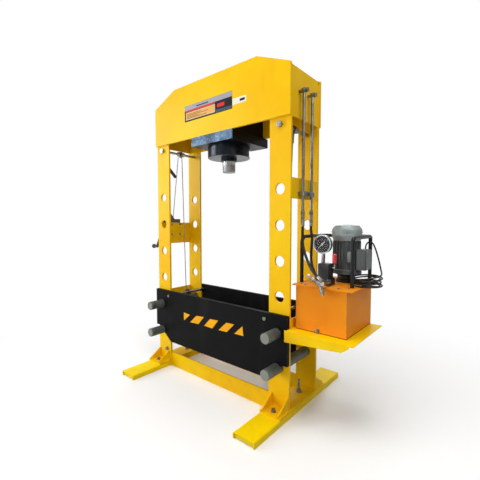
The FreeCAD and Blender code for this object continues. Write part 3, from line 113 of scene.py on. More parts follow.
rope = {"thickness": 0.006, "length": 4.54, "wound": 28.3, "turns": 5, "pitch": 7.0, "steps": 16,
        "start": (-584.4, 28.3, 992.5), "flange": (-600.0, 28.3, 992.5), "firstTurn": -610.6, "drum": 1000.0,
        "leave": (-645.6, 28.3, 1000.0), "rise": (-645.6, 28.3, 1030.0), "eye": (503.93, -23.24, 1506.13),
        "pulley": [(-530, 0, 1558), (-530, 0, 1602), (-486, 0, 1602), (-486, 0, 1558)],
        "bed": [(-450, 0, 550), (-450, 0, 506), (-414, 0, 506), (414, 0, 506), (450, 0, 506), (450, 0, 550)]}


def ropePath():
    points = placed([rope["start"], rope["flange"]])
    outer = rope["wound"] / math.cos(math.pi / rope["steps"])
    for i in range(1, rope["turns"] * rope["steps"]):
        angle = 2 * math.pi * i / rope["steps"]
        x = rope["firstTurn"] - rope["pitch"] * i / rope["steps"]
        points.append(place(x, outer * math.cos(angle), rope["drum"] + outer * math.sin(angle)))
    leave, rise, eye = placed([rope["leave"], rope["rise"], rope["eye"]])
    pulley = placed(rope["pulley"])
    bed = placed(rope["bed"])
    # a second point near each bend keeps the long runs straight
    points += [leave, rise, between(rise, pulley[0], 0.93), *pulley]
    points += [between(pulley[-1], bed[0], 0.036), between(pulley[-1], bed[0], 0.964), *bed]
    points += [between(bed[-1], eye, 0.04), eye]
    return points


liftRope = makeCord("liftRope", ropePath(), rope["thickness"])
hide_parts("lift_rope")
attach(liftRope, "frame")

hoses = {"thickness": 0.015, "resolution": 8, "frontLength": 0.321, "backLength": 0.287,
         "front": [(600, -72, 1042), (600, -72, 1005), (605, -82, 948), (632, -100, 893), (672, -124, 837),
                   (708, -145, 806), (740, -160, 790)],
         "back": [(600, 21, 1042), (600, 21, 1018), (614, 13, 975), (616, 0, 920), (625, -22, 865),
                  (645, -40, 815), (670, -48, 778)]}
frontHose = makeCord("frontHose", placed(hoses["front"]), hoses["thickness"], hoses["resolution"])
backHose = makeCord("backHose", placed(hoses["back"]), hoses["thickness"], hoses["resolution"])
for hose, node, route, length in ((frontHose, "hose_front", hoses["front"], hoses["frontLength"]),
                                  (backHose, "hose_back", hoses["back"], hoses["backLength"])):
    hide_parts(node)
    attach(hose, "frame")

cable = {"thickness": 0.008, "length": 2.65, "middle": (897.0, 60.0), "inner": 66.5, "outer": 77.0,
         "swell": 1.024, "lift": 8.9, "fan": 7.0, "loft": 4.8, "loftAngle": 95, "endAngle": 12.0,
         "turns": 5.0, "perLayer": 1.5, "steps": 14, "low": 741.3, "tail": 28.0,
         "route": [(852, 171, 904), (852, 171, 936), (871, 158, 958), (900, 139, 957), (917, 130, 930),
                   (930, 128, 893), (940, 131, 853), (946, 138, 815), (959.0, 110.2, 802.0)]}


def coilPoint(turn):
    # each layer takes one turn across the coil and half a turn up to the next
    layer = int(turn / cable["perLayer"] + 1e-9)
    share = turn - cable["perLayer"] * layer
    across = min(share, 1.0)
    climb = max(share - 1.0, 0.0) / (cable["perLayer"] - 1.0)
    if layer % 2 == 1:
        across = 1.0 - across
    radius = (cable["inner"] + (cable["outer"] - cable["inner"]) * across) * cable["swell"]
    level = layer + climb
    angle = math.radians(cable["endAngle"]) - 2 * math.pi * (cable["turns"] - turn)
    height = cable["lift"] * level + cable["fan"] * level * (1 + math.cos(angle)) / 2
    height += cable["loft"] * level * (1 + math.cos(angle - math.radians(cable["loftAngle"]))) / 2
    x, y = cable["middle"]
    return place(x + radius * math.cos(angle), y + radius * math.sin(angle), cable["low"] + height)


def cablePath():
    points = placed(cable["route"])
    for i in range(int(cable["turns"] * cable["steps"]), -1, -1):
        points.append(coilPoint(i / cable["steps"]))
    angle = math.radians(cable["endAngle"])
    inward = Vector((-math.cos(angle), -math.sin(angle), 0))
    back = Vector((math.sin(angle), -math.cos(angle), 0))
    x, y = cable["middle"]
    first = place(x + cable["inner"] * math.cos(angle), y + cable["inner"] * math.sin(angle), cable["low"])
    tail = cable["tail"] / 1000
    points += [first + back * tail, first + back * tail + inward * (tail + cable["thickness"])]
    return points


powerCable = makeCord("powerCable", cablePath(), cable["thickness"])
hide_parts("power_cable", "cable_coil")
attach(powerCable, "frame")


print("finishes")


def tint(colour):
    # screen colour 0 to 255 to the shader's own scale
    def line(value):
        value = value / 255
        return value / 12.92 if value <= 0.04045 else ((value + 0.055) / 1.055) ** 2.4
    return (*(line(value) for value in colour), 1.0)


class Bench:
    # keeps the nodes of one material or world in reach while it is wired
    def __init__(self, owner):
        owner.use_nodes = True
        self.owner = owner
        self.tree = owner.node_tree
        self.shader = self.tree.nodes.get("Principled BSDF")
        self.spots = self.add("ShaderNodeTexCoord").outputs
        self.spot = self.spots["Object"]

    def add(self, kind, values=None, **settings):
        node = self.tree.nodes.new(kind)
        for key, value in settings.items():
            setattr(node, key, value)
        for key, value in (values or {}).items():
            self.feed(node.inputs[key], value)
        return node

    def feed(self, socket, value):
        if isinstance(value, bpy.types.NodeSocket):
            self.tree.links.new(value, socket)
        else:
            socket.default_value = value

    def stretched(self, scale=(1, 1, 1), location=(0, 0, 0), turn=(0, 0, 0)):
        return self.add("ShaderNodeMapping", {"Vector": self.spot, "Scale": scale, "Location": location,
                                              "Rotation": turn}).outputs["Vector"]

    def noise(self, scale, detail=3.0, rough=0.55, spot=None, distortion=0.0):
        return self.add("ShaderNodeTexNoise", {"Vector": spot or self.spot, "Scale": scale, "Detail": detail,
                                               "Roughness": rough, "Distortion": distortion}).outputs["Fac"]

    def wave(self, scale, distortion, spot, detail=2.0, **settings):
        return self.add("ShaderNodeTexWave", {"Vector": spot, "Scale": scale, "Distortion": distortion,
                                              "Detail": detail}, **settings).outputs["Fac"]

    def span(self, value, low, high, start=0.0, end=1.0, smooth=False):
        return self.add("ShaderNodeMapRange", {"Value": value, "From Min": low, "From Max": high,
                                               "To Min": start, "To Max": end},
                        interpolation_type='SMOOTHSTEP' if smooth else 'LINEAR').outputs["Result"]

    def sums(self, operation, first, second=0.0):
        return self.add("ShaderNodeMath", {0: first, 1: second}, operation=operation).outputs[0]

    def times(self, first, second):
        return self.sums('MULTIPLY', first, second)

    def axis(self, vector, letter):
        return self.add("ShaderNodeSeparateXYZ", {0: vector}).outputs[letter]

    def mixed(self, share, first, second):
        # sockets 6 and 7 and output 2 are the node's colour ones
        return self.add("ShaderNodeMix", {0: share, 6: first, 7: second}, data_type='RGBA').outputs[2]

    def normal(self):
        return self.add("ShaderNodeNewGeometry").outputs["Normal"]

    def softNormal(self, radius):
        return self.add("ShaderNodeBevel", {"Radius": radius}, samples=4).outputs["Normal"]

    def edges(self, radius):
        # 0 on flat faces, 1 along sharp edges
        dot = self.add("ShaderNodeVectorMath", {0: self.softNormal(radius), 1: self.normal()},
                       operation='DOT_PRODUCT').outputs["Value"]
        return self.span(dot, 0.995, 0.80)

    def aside(self):
        # 1 on faces that look left, right or down, 0 on the rest
        normal = self.normal()
        down = self.times(self.axis(normal, "Z"), -1.0)
        side = self.sums('ABSOLUTE', self.axis(normal, "X"))
        return self.span(self.sums('MAXIMUM', side, down), 0.72, 0.90)

    def surface(self, colour, rough, metal=0.0, coat=0.0, coatRough=0.1, specular=0.5):
        for key, value in (("Base Color", colour), ("Roughness", rough), ("Metallic", metal),
                           ("Coat Weight", coat), ("Coat Roughness", coatRough),
                           ("Specular IOR Level", specular)):
            self.feed(self.shader.inputs[key], value)

    def relief(self, height, depth, strength=1.0, edge=0.0):
        bump = self.add("ShaderNodeBump", {"Height": height, "Distance": depth, "Strength": strength})
        if edge > 0:
            self.feed(bump.inputs["Normal"], self.softNormal(edge))
        self.feed(self.shader.inputs["Normal"], bump.outputs["Normal"])


def newBench(name):
    return Bench(bpy.data.materials.new(name))


enamelBase = {"colour": (252, 206, 0), "deep": (247, 190, 0), "clouds": 1.6, "speck": (255, 226, 90),
              "specks": 0.25, "fleck": 420.0, "dirt": (150, 112, 40), "grime": 0.08, "runs": 9.0,
              "dust": 0.14, "dustTop": 0.30, "dustPatch": 14.0, "worn": (120, 84, 30), "wear": 0.75,
              "chips": 120.0, "edge": 0.0018, "rubbing": 1.3, "rough": (0.34, 0.50), "smears": 6.0,
              "coat": 0.03, "specular": 0.12, "peel": 900.0, "waves": 22.0, "depth": 0.00018}


def makeEnamel(name, **changes):
    # sprayed paint: cloudy depth of colour, orange peel, rubbed edges and dust near the floor
    enamel = {**enamelBase, **changes}
    bench = newBench(name)
    height = bench.axis(bench.spot, "Z")
    clouds = bench.span(bench.noise(enamel["clouds"], 4.0), 0.35, 0.68, smooth=True)
    colour = bench.mixed(clouds, tint(enamel["colour"]), tint(enamel["deep"]))
    specks = bench.span(bench.noise(enamel["fleck"], 2.0), 0.66, 0.74, 0.0, enamel["specks"])
    colour = bench.mixed(specks, colour, tint(enamel["speck"]))
    runs = bench.noise(enamel["runs"], 5.0, 0.6, bench.stretched((1, 1, 0.22)))
    colour = bench.mixed(bench.span(runs, 0.56, 0.74, 0.0, enamel["grime"]), colour, tint(enamel["dirt"]))
    if enamel["dust"] > 0:
        low = bench.span(height, enamel["dustTop"], 0.0, smooth=True)
        patches = bench.span(bench.noise(enamel["dustPatch"], 5.0, 0.65), 0.40, 0.70)
        dust = bench.times(bench.times(low, patches), enamel["dust"])
        colour = bench.mixed(dust, colour, tint(enamel["dirt"]))
    if "seam" in enamel:
        # painted shadow: a dark line along the tank's foot, where it stands on the shelf
        below = bench.sums('LESS_THAN', height, enamel["seam"])
        colour = bench.mixed(below, colour, tint(enamel["crack"]))
    chips = bench.span(bench.noise(enamel["chips"], 4.0, 0.7), 0.52, 0.60)
    rubbed = bench.times(bench.edges(enamel["edge"] * enamel["rubbing"]), bench.times(chips, enamel["wear"]))
    colour = bench.mixed(rubbed, colour, tint(enamel["worn"]))
    if "web" in enamel:
        # painted shade: the webs inside the head's bay are painted black, where the bay lies in shade between
        # the plates
        aside = bench.sums('ABSOLUTE', bench.sums('ADD', bench.axis(bench.spot, "X"), originShift))
        inside = bench.times(bench.sums('LESS_THAN', aside, enamel["webHalf"]),
                             bench.sums('LESS_THAN', height, enamel["webTop"]))
        colour = bench.mixed(inside, colour, tint(enamel["web"]))
    smears = bench.noise(enamel["smears"], 5.0, 0.6, distortion=0.6)
    bench.surface(colour, bench.span(smears, 0.3, 0.7, *enamel["rough"]), coat=enamel["coat"], coatRough=0.12,
                  specular=enamel["specular"])
    waves = bench.times(bench.noise(enamel["waves"], 2.0), 1.5)
    peel = bench.sums('ADD', bench.noise(enamel["peel"], 2.0), waves)
    bench.relief(peel, enamel["depth"], 0.5, enamel["edge"])
    return bench.owner


steelBase = {"colour": (168, 170, 170), "deep": (126, 127, 126), "mark": (84, 80, 74), "marks": 0.4,
             "bright": (225, 226, 226), "wear": 0.5, "edge": 0.0008, "rubbing": 1.2, "patch": 11.0,
             "lines": 260.0, "stretch": (1, 1, 0.06), "rough": (0.24, 0.40), "depth": 0.00012, "metal": 0.95}


def makeMetal(name, **changes):
    # bare or plated metal: brushed or turned lines, tarnish in patches, brighter edges
    metal = {**steelBase, **changes}
    bench = newBench(name)
    patches = bench.span(bench.noise(metal["patch"], 5.0, 0.65, distortion=0.4), 0.36, 0.66, smooth=True)
    colour = bench.mixed(patches, tint(metal["colour"]), tint(metal["deep"]))
    marks = bench.span(bench.noise(metal["patch"] * 7, 3.0, 0.7), 0.58, 0.70, 0.0, metal["marks"])
    colour = bench.mixed(marks, colour, tint(metal["mark"]))
    shine = bench.times(bench.edges(metal["edge"] * metal["rubbing"]), metal["wear"])
    colour = bench.mixed(shine, colour, tint(metal["bright"]))
    # painted shade: faces that look sideways or down turn to the given dark colour
    if "sooty" in metal:
        colour = bench.mixed(bench.aside(), colour, tint(metal["sooty"]))
    lines = bench.noise(metal["lines"], 2.0, 0.5, bench.stretched(metal["stretch"]))
    rough = bench.sums('ADD', bench.span(lines, 0.3, 0.7, *metal["rough"]), bench.times(patches, 0.08))
    bench.surface(colour, rough, metal=metal["metal"])
    bench.relief(lines, metal["depth"], 0.6, metal["edge"])
    return bench.owner


pinSteel = {"rings": 260.0, "threads": 150.0, "stains": 16.0, "colour": (92, 97, 91), "deep": (60, 64, 60),
            "bright": (164, 170, 163), "faced": (136, 141, 132), "edge": 0.0018, "rough": (0.42, 0.58),
            "metal": 0.35, "depth": 0.0002, "bevel": 0.0012}


def makePinSteel(name, x, z):
    # a turned bar: fine rings round its own axis and a faced end
    bench = newBench(name)
    middle = place(x, 0, z)
    spot = bench.stretched(location=(-middle.x, 0, -middle.z))
    rings = bench.wave(pinSteel["rings"], 0.6, spot, wave_type='RINGS', rings_direction='Y')
    threads = bench.wave(pinSteel["threads"], 0.8, spot, wave_type='BANDS', bands_direction='Y')
    stains = bench.span(bench.noise(pinSteel["stains"], 5.0, 0.65, distortion=0.5), 0.38, 0.66, smooth=True)
    colour = bench.mixed(stains, tint(pinSteel["colour"]), tint(pinSteel["deep"]))
    colour = bench.mixed(bench.times(threads, 0.22), colour, tint(pinSteel["bright"]))
    colour = bench.mixed(bench.times(bench.edges(pinSteel["edge"]), 0.6), colour, tint(pinSteel["bright"]))
    facing = bench.sums('ABSOLUTE', bench.axis(bench.normal(), "Y"))
    colour = bench.mixed(bench.span(facing, 0.90, 0.97, 0.0, 0.7), colour, tint(pinSteel["faced"]))
    rough = bench.span(bench.noise(60.0, 3.0), 0.3, 0.7, *pinSteel["rough"])
    bench.surface(colour, rough, metal=pinSteel["metal"])
    bench.relief(bench.sums('ADD', rings, threads), pinSteel["depth"], 0.5, pinSteel["bevel"])
    return bench.owner


softBase = {"scuffs": 0.3, "smears": 30.0, "coat": 0.0, "specular": 0.5, "edge": 0.0}


def makeSoft(name, **changes):
    # rubber and moulded plastic: dull, with fine grain and pale scuffs
    soft = {**softBase, **changes}
    bench = newBench(name)
    smears = bench.noise(soft["smears"], 5.0, 0.7, bench.stretched((1, 1, 0.5)), 0.6)
    scuffs = bench.span(smears, 0.55, 0.72, 0.0, soft["scuffs"])
    colour = bench.mixed(scuffs, tint(soft["colour"]), tint(soft["scuff"]))
    colour = bench.mixed(bench.span(bench.noise(7.0, 3.0), 0.35, 0.65, 0.0, 0.5), colour, tint(soft["deep"]))
    bench.surface(colour, bench.span(bench.noise(45.0, 4.0), 0.3, 0.7, *soft["rough"]), coat=soft["coat"],
                  specular=soft["specular"])
    bench.relief(bench.noise(soft["grain"], 3.0, 0.6), soft["depth"], 0.5, soft["edge"])
    return bench.owner


laidWire = {"lay": 110.0, "slant": (0.6, 0.6, 0.0), "gap": (70, 72, 74), "strand": (176, 180, 184),
            "grease": (110, 104, 96), "rough": (0.45, 0.32), "metal": 0.8, "depth": 0.0006}


def makeRopeSteel(name):
    # laid wire: slanting strands with dark gaps
    bench = newBench(name)
    lay = bench.wave(laidWire["lay"], 1.5, bench.stretched(turn=laidWire["slant"]), wave_type='BANDS',
                     bands_direction='Z')
    colour = bench.mixed(bench.span(lay, 0.25, 0.7), tint(laidWire["gap"]), tint(laidWire["strand"]))
    grease = bench.span(bench.noise(20.0, 4.0), 0.5, 0.7, 0.0, 0.5)
    colour = bench.mixed(grease, colour, tint(laidWire["grease"]))
    bench.surface(colour, bench.span(lay, 0.0, 1.0, *laidWire["rough"]), metal=laidWire["metal"])
    bench.relief(lay, laidWire["depth"], 0.8)
    return bench.owner


def dress(finish, *names):
    for name in names:
        nodes[name].data.materials[0] = finish
    return finish


frameYellow = dress(makeEnamel("frameYellow"), "base_plates", "upright_front_left", "upright_back_left",
                    "upright_front_right", "upright_back_right", "tie_beams", "side_plates_left",
                    "side_plates_right", "head_plate_front", "head_plate_back", "head_ends")
# painted shade: the head covers are painted black on their webs inside the bay
dress(makeEnamel("headCoverYellow", web=(18, 18, 20), webHalf=0.17, webTop=1.90), "head_covers")
# painted light: the feet and the shelf get lighter copies of the frame's yellow, standing in for the light on
# their tops
dress(makeEnamel("footYellow", colour=(254, 222, 0), deep=(250, 210, 0)), "feet")
dress(makeEnamel("shelfYellow", colour=(255, 216, 4), deep=(250, 200, 2), dust=0.0), "pump_shelf")
# painted shadow: the tank's paint turns dark brown just above the shelf, as a contact shadow line
dress(makeEnamel("tankOrange", colour=(241, 150, 34), deep=(235, 138, 26), speck=(250, 176, 80),
                 dirt=(130, 74, 26), worn=(110, 70, 40), dust=0.0, rough=(0.40, 0.55), coat=0.0,
                 specular=0.06, clouds=3.0, seam=0.5005, crack=(84, 44, 12)), "oil_tank", "tank_lid")
dress(makeEnamel("bedBlack", colour=(17, 19, 19), deep=(12, 13, 14), speck=(38, 40, 42),
                 dirt=(58, 57, 54), worn=(120, 122, 122), dust=0.0, grime=0.16, rough=(0.46, 0.62),
                 coat=0.0, specular=0.06, wear=1.0, peel=700.0, depth=0.00025),
      "bed_plate_front", "bed_plate_back")
dress(makeEnamel("handleBlack", colour=(18, 18, 20), deep=(12, 12, 14), speck=(46, 46, 48),
                 dirt=(70, 68, 64), worn=(110, 108, 104), dust=0.0, rough=(0.25, 0.4), coat=0.06,
                 specular=0.25, wear=0.4, edge=0.001), "handle_frame")
dress(makeEnamel("motorGrey", colour=(92, 100, 99), deep=(76, 84, 84), speck=(130, 137, 137),
                 dirt=(52, 52, 50), worn=(150, 152, 150), dust=0.0, grime=0.25, coat=0.1, specular=0.4,
                 wear=0.5, edge=0.001, peel=500.0), "motor_housing")
boxGrey = dress(makeEnamel("boxGrey", colour=(104, 110, 110), deep=(88, 94, 95), speck=(150, 155, 155),
                           dirt=(58, 58, 56), worn=(170, 172, 170), dust=0.0, rough=(0.32, 0.46),
                           wear=0.4), "terminal_box")
dress(makeEnamel("winchGrey", colour=(104, 102, 98), deep=(84, 82, 78), speck=(150, 148, 142),
                 dirt=(60, 54, 44), worn=(160, 158, 150), dust=0.0, grime=0.3, rough=(0.35, 0.5),
                 wear=0.8, edge=0.001), "winch_frame", "winch_crank", "winch_pawl")

zincSteel = dress(makeMetal("zincSteel", colour=(158, 160, 157), deep=(116, 115, 108), patch=40.0),
                  "fasteners", "bed_ties")
# painted shade and reflection: the slab's sides and underside are painted near-black, and the pale blue marks
# on its front are partly painted sky reflection over the scale's own mottle
dress(makeMetal("slabSteel", colour=(70, 96, 120), deep=(42, 58, 76), mark=(150, 168, 184), marks=0.7,
                bright=(170, 186, 200), patch=13.0, rough=(0.28, 0.46), metal=0.7, edge=0.0015,
                stretch=(1, 1, 1), lines=130.0, depth=0.0003, sooty=(16, 17, 20)), "cylinder_slab")
dress(makeMetal("barrelSteel", colour=(38, 43, 50), deep=(22, 25, 31), mark=(70, 78, 90),
                bright=(120, 132, 146), rough=(0.16, 0.26), metal=0.8, edge=0.0015),
      "cylinder_barrel", "cylinder_gland")
dress(makeMetal("rodChrome", colour=(200, 202, 204), deep=(170, 172, 174), marks=0.1,
                rough=(0.10, 0.18)), "ram")
dress(makeMetal("noseSteel", colour=(178, 180, 180), deep=(138, 139, 138), rough=(0.34, 0.46),
                metal=0.7), "ram_nose")
dress(makeMetal("tieSteel", colour=(172, 172, 168), deep=(128, 126, 120), stretch=(1, 0.08, 1)),
      "pulley_rods")
dress(makeMetal("pulleySteel", colour=(136, 136, 132), deep=(94, 92, 88), patch=40.0),
      "bed_sheave_left", "bed_sheave_right", "rope_pulley", "rope_anchor")
dress(makeMetal("gearSteel", colour=(150, 148, 140), deep=(104, 100, 90), mark=(70, 58, 42), marks=0.6,
                patch=24.0, stretch=(0.08, 1, 1)), "winch_drum")
dress(makeMetal("rotorSteel", patch=30.0), "motor_rotor")
dress(makeMetal("pipeSteel", colour=(150, 152, 148), deep=(104, 104, 98), rough=(0.18, 0.32)),
      "pressure_pipes")
dress(makeMetal("nickel", colour=(168, 165, 156), deep=(118, 112, 98), patch=50.0, rough=(0.20, 0.34)),
      "valve_lever", "hose_fittings")
dress(makeMetal("chrome", colour=(168, 171, 174), deep=(134, 137, 140), marks=0.1, rough=(0.20, 0.30),
                patch=20.0), "gauge_case")
fanSilver = dress(makeMetal("fanSilver", colour=(158, 168, 167), deep=(140, 150, 149), mark=(116, 121, 119),
                            marks=0.3, bright=(220, 226, 226), patch=12.0, stretch=(1, 1, 1), lines=380.0,
                            rough=(0.38, 0.48), metal=0.35), "fan_cover")
plateSilver = makeMetal("plateSilver", colour=(150, 154, 154), deep=(120, 124, 124), stretch=(0.1, 0.1, 1))
for name, x, z in (("lower_left", -508, 267), ("lower_right", 508, 267),
                   ("upper_left", -508, 462), ("upper_right", 508, 462)):
    dress(makePinSteel("pinSteel_" + name, x, z), "bed_pin_" + name)
ropeSteel = dress(makeRopeSteel("ropeSteel"), "lift_rope")

hoseRubber = dress(makeSoft("hoseRubber", colour=(25, 26, 27), deep=(17, 18, 19), scuff=(64, 64, 62),
                            rough=(0.42, 0.58), grain=700.0, depth=0.0003, specular=0.3),
                   "hose_front", "hose_back")
cableBlack = dress(makeSoft("cableBlack", colour=(20, 21, 23), deep=(13, 14, 15), scuff=(60, 60, 60),
                            scuffs=0.25, rough=(0.34, 0.48), grain=500.0, depth=0.0002, specular=0.35),
                   "power_cable", "cable_coil")
dress(makeSoft("gripBlack", colour=(34, 33, 33), deep=(24, 24, 24), scuff=(88, 86, 82), scuffs=0.4,
               rough=(0.36, 0.5), grain=420.0, depth=0.0004, edge=0.001),
      "winch_grip", "sleeved_peg", "cable_plug")
dress(makeSoft("valveBlack", colour=(26, 27, 28), deep=(17, 18, 19), scuff=(80, 80, 78), scuffs=0.35,
               rough=(0.38, 0.54), grain=300.0, depth=0.0003, edge=0.0012), "gear_pump", "valve_block")
dress(makeSoft("knobRed", colour=(222, 28, 34), deep=(196, 16, 24), scuff=(240, 90, 88),
               rough=(0.22, 0.34), grain=300.0, depth=0.0002, edge=0.0012, coat=0.4), "lever_knob")
dress(makeSoft("needleWhite", colour=(214, 214, 210), deep=(194, 194, 190), scuff=(180, 180, 176),
               scuffs=0.2, rough=(0.35, 0.45), grain=600.0, depth=0.0001), "gauge_needle")
dialGrey = makeSoft("dialGrey", colour=(98, 100, 100), deep=(84, 86, 86), scuff=(130, 130, 128), scuffs=0.2,
                    rough=(0.4, 0.5), grain=600.0, depth=0.0001)
dialBlack = makeSoft("dialBlack", colour=(20, 20, 22), deep=(14, 14, 16), scuff=(34, 34, 36),
                     rough=(0.45, 0.6), grain=900.0, depth=0.0001)
for cord, finish in ((liftRope, ropeSteel), (frontHose, hoseRubber), (backHose, hoseRubber),
                     (powerCable, cableBlack)):
    cord.data.materials.append(finish)


def deselectAll():
    if bpy.context.mode != 'OBJECT':
        bpy.ops.object.mode_set(mode='OBJECT')
    bpy.ops.object.select_all(action='DESELECT')


def choose(piece):
    deselectAll()
    piece.select_set(True)
    bpy.context.view_layer.objects.active = piece


def openPiece(piece, mode='FACE'):
    choose(piece)
    bpy.ops.object.mode_set(mode='EDIT')
    bpy.ops.mesh.select_mode(type=mode)


def pick(kind, test):
    # selects the vertices, edges or faces that pass the test, in edit mode
    mesh = bpy.context.edit_object.data
    work = bmesh.from_edit_mesh(mesh)
    for group in (work.verts, work.edges, work.faces):
        for item in group:
            item.select = False
    for item in getattr(work, kind):
        if test(item):
            item.select_set(True)
    work.select_flush_mode()
    bmesh.update_edit_mesh(mesh)


def applied(piece):
    choose(piece)
    bpy.ops.object.transform_apply(location=True, rotation=True, scale=True)
    return piece


def closePiece(piece, name, finish, smooth=None):
    choose(piece)
    for modifier in list(piece.modifiers):
        bpy.ops.object.modifier_apply(modifier=modifier.name)
    applied(piece)
    if smooth:
        bpy.ops.object.shade_smooth_by_angle(angle=math.radians(smooth))
    piece.name = name
    piece.data.name = name
    piece.data.materials.clear()
    piece.data.materials.append(finish)
    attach(piece, "frame")


def copied(piece, move):
    # a copy with its own mesh, moved by a matrix
    twin = piece.copy()
    twin.data = piece.data.copy()
    bpy.context.scene.collection.objects.link(twin)
    twin.data.transform(move)
    return twin


def joinAll(pieces):
    deselectAll()
    for piece in pieces:
        piece.select_set(True)
    bpy.context.view_layer.objects.active = pieces[0]
    bpy.ops.object.join()
    return bpy.context.object


print("labels")
blank = 0.01  # half the side of the square that a sticker starts from


def makePatch(name, corners, front, thick, finish, rounding=0.0):
    # a flat sticker on a front face, from its corners in x and z
    deselectAll()
    bpy.ops.mesh.primitive_plane_add(size=2 * blank, location=(0, 0, 0))
    patch = bpy.context.object
    openPiece(patch, 'VERT')
    bpy.ops.mesh.select_all(action='SELECT')
    bpy.ops.transform.rotate(value=math.pi / 2, orient_axis='X', center_override=(0, 0, 0))
    marks = [place(x, front, z) for x, z in corners]
    homes = [Vector((blank * x, 0, blank * z)) for x, z in ((-1, 1), (1, 1), (1, -1), (-1, -1))]
    work = bmesh.from_edit_mesh(patch.data)
    found = [min(work.verts, key=lambda v: (v.co - home).length).index for home in homes]
    for i, index in enumerate(found):
        # with three corners the last two meet and are merged
        pick("verts", lambda v: v.index == index)
        bpy.ops.transform.translate(value=marks[min(i, len(marks) - 1)] - homes[i])
    bpy.ops.mesh.select_all(action='SELECT')
    bpy.ops.mesh.remove_doubles(threshold=0.0001)
    if rounding:
        bpy.ops.mesh.select_all(action='SELECT')
        bpy.ops.mesh.bevel(offset=rounding, segments=4, affect='VERTICES')
    bpy.ops.mesh.select_all(action='SELECT')
    bpy.ops.mesh.extrude_region_move(TRANSFORM_OT_translate={"value": (0, -thick, 0)})
    bpy.ops.mesh.select_all(action='SELECT')
    bpy.ops.mesh.normals_make_consistent(inside=False)
    closePiece(patch, name, finish)


vinylColours = {"stripeVinyl": ((250, 178, 22), (240, 162, 14)), "labelEdge": ((34, 28, 26), (26, 22, 20)),
                "labelBand": ((172, 168, 178), (158, 154, 166)), "labelRed": ((222, 56, 36), (204, 44, 30)),
                "labelTan": ((232, 176, 96), (222, 162, 82)), "labelRim": ((238, 214, 176), (230, 204, 162)),
                "labelDark": ((28, 28, 36), (20, 20, 28)), "labelBlue": ((64, 84, 104), (54, 72, 92)),
                "labelWhite": ((240, 236, 220), (228, 224, 208)), "labelInk": ((120, 84, 46), (104, 72, 40))}
vinyls = {}
for name, (colour, deep) in vinylColours.items():
    scuff = tuple(min(255, value + 18) for value in colour)
    vinyls[name] = makeSoft(name, colour=colour, deep=deep, scuff=scuff, scuffs=0.35, rough=(0.42, 0.56),
                            grain=260.0, depth=0.0001, specular=0.12)

stripes = {"face": -181.0, "thick": 0.0005,
           "shapes": [[(-262, 437), (-198, 432), (-260, 382)],
                      [(-135, 437), (-61, 443), (-114, 385), (-196, 381)],
                      [(-4, 441), (69, 445), (17, 384), (-58, 386)],
                      [(139, 446), (203, 448), (143, 388), (73, 386)],
                      [(268, 451), (275, 394), (206, 393)]]}
for i, shape in enumerate(stripes["shapes"]):
    makePatch("bedStripe%d" % (i + 1), shape, stripes["face"], stripes["thick"], vinyls["stripeVinyl"])

# each panel: left, right, low, high, how far it stands out, corner rounding, vinyl
label = {"face": -170.0, "thick": 0.0004, "barThick": 0.0003,
         "panels": {"labelBack": (-245, 180, 1731, 1835, 0.0, 0.002, "labelEdge"),
                    "labelTopBand": (-244, 179, 1803, 1834, 0.4, 0.0, "labelBand"),
                    "labelRedBand": (-232, 38, 1791, 1801, 0.4, 0.0, "labelRed"),
                    "labelTanRim": (-232, 38, 1741, 1789, 0.4, 0.001, "labelRim"),
                    "labelTanPanel": (-228, 34, 1745, 1785, 0.7, 0.001, "labelTan"),
                    "labelDarkPanel": (42, 176, 1753, 1801, 0.4, 0.001, "labelDark"),
                    "labelBlueStrip": (42, 176, 1735, 1752, 0.4, 0.001, "labelBlue"),
                    "labelRedBar": (58, 118, 1764, 1786, 0.7, 0.004, "labelRed"),
                    "labelTopRule": (-130, -20, 1812, 1819, 0.7, 0.001, "labelDark"),
                    "labelRule1": (-225, -90, 1776, 1779, 1.0, 0.0, "labelInk"),
                    "labelRule2": (-225, -20, 1767, 1770, 1.0, 0.0, "labelInk"),
                    "labelRule3": (-225, -110, 1758, 1761, 1.0, 0.0, "labelInk"),
                    "labelRule4": (-225, -35, 1749, 1752, 1.0, 0.0, "labelInk"),
                    "headSticker": (182, 286, 1749, 1785, 0.0, 0.004, "labelWhite"),
                    "stickerBar": (238, 276, 1760, 1774, 0.4, 0.002, "labelDark")}}
for name, (left, right, low, high, lift, rounding, finish) in label["panels"].items():
    corners = [(left, high), (right, high), (right, low), (left, low)]
    thick = label["barThick"] if name == "stickerBar" else label["thick"]
    makePatch(name, corners, label["face"] - lift, thick, vinyls[finish], rounding)


print("welds")
weld = {"radius": 0.0045, "thin": 0.0035, "ripple": 0.0042, "pinch": 0.78,
        "foot": 515.0, "bar": 508.0, "beam": 440.5, "plate": 574.5}


def weldRun(start, end, radius=weld["radius"]):
    # a rippled bead between two points along one axis
    deselectAll()
    along = end - start
    length = along.length
    turn = Vector((0, 0, 1)).rotation_difference(along)
    bpy.ops.mesh.primitive_cylinder_add(vertices=8, radius=radius, depth=length, location=(0, 0, 0))
    bead = bpy.context.object
    openPiece(bead, 'EDGE')
    cuts = max(3, int(length / weld["ripple"]))
    pick("edges", lambda e: abs(e.verts[0].co.z - e.verts[1].co.z) > length / 2)
    bpy.ops.mesh.subdivide(number_cuts=cuts)
    step = length / (cuts + 1)
    bpy.ops.mesh.select_mode(type='VERT')
    pick("verts", lambda v: round((v.co.z + length / 2) / step) % 2 == 0)
    bpy.ops.transform.resize(value=(weld["pinch"], weld["pinch"], 1), center_override=(0, 0, 0))
    bpy.ops.object.mode_set(mode='OBJECT')
    bead.rotation_euler = turn.to_euler()
    bead.location = start + along / 2
    return applied(bead)


def weldSet(name, bead, moves):
    # copies one bead by each move in millimetres
    beads = [copied(bead, Matrix.Translation((x / 1000, y / 1000, z / 1000))) for x, y, z in moves]
    bpy.data.objects.remove(bead)
    closePiece(joinAll(beads), name, frameYellow, smooth=60)


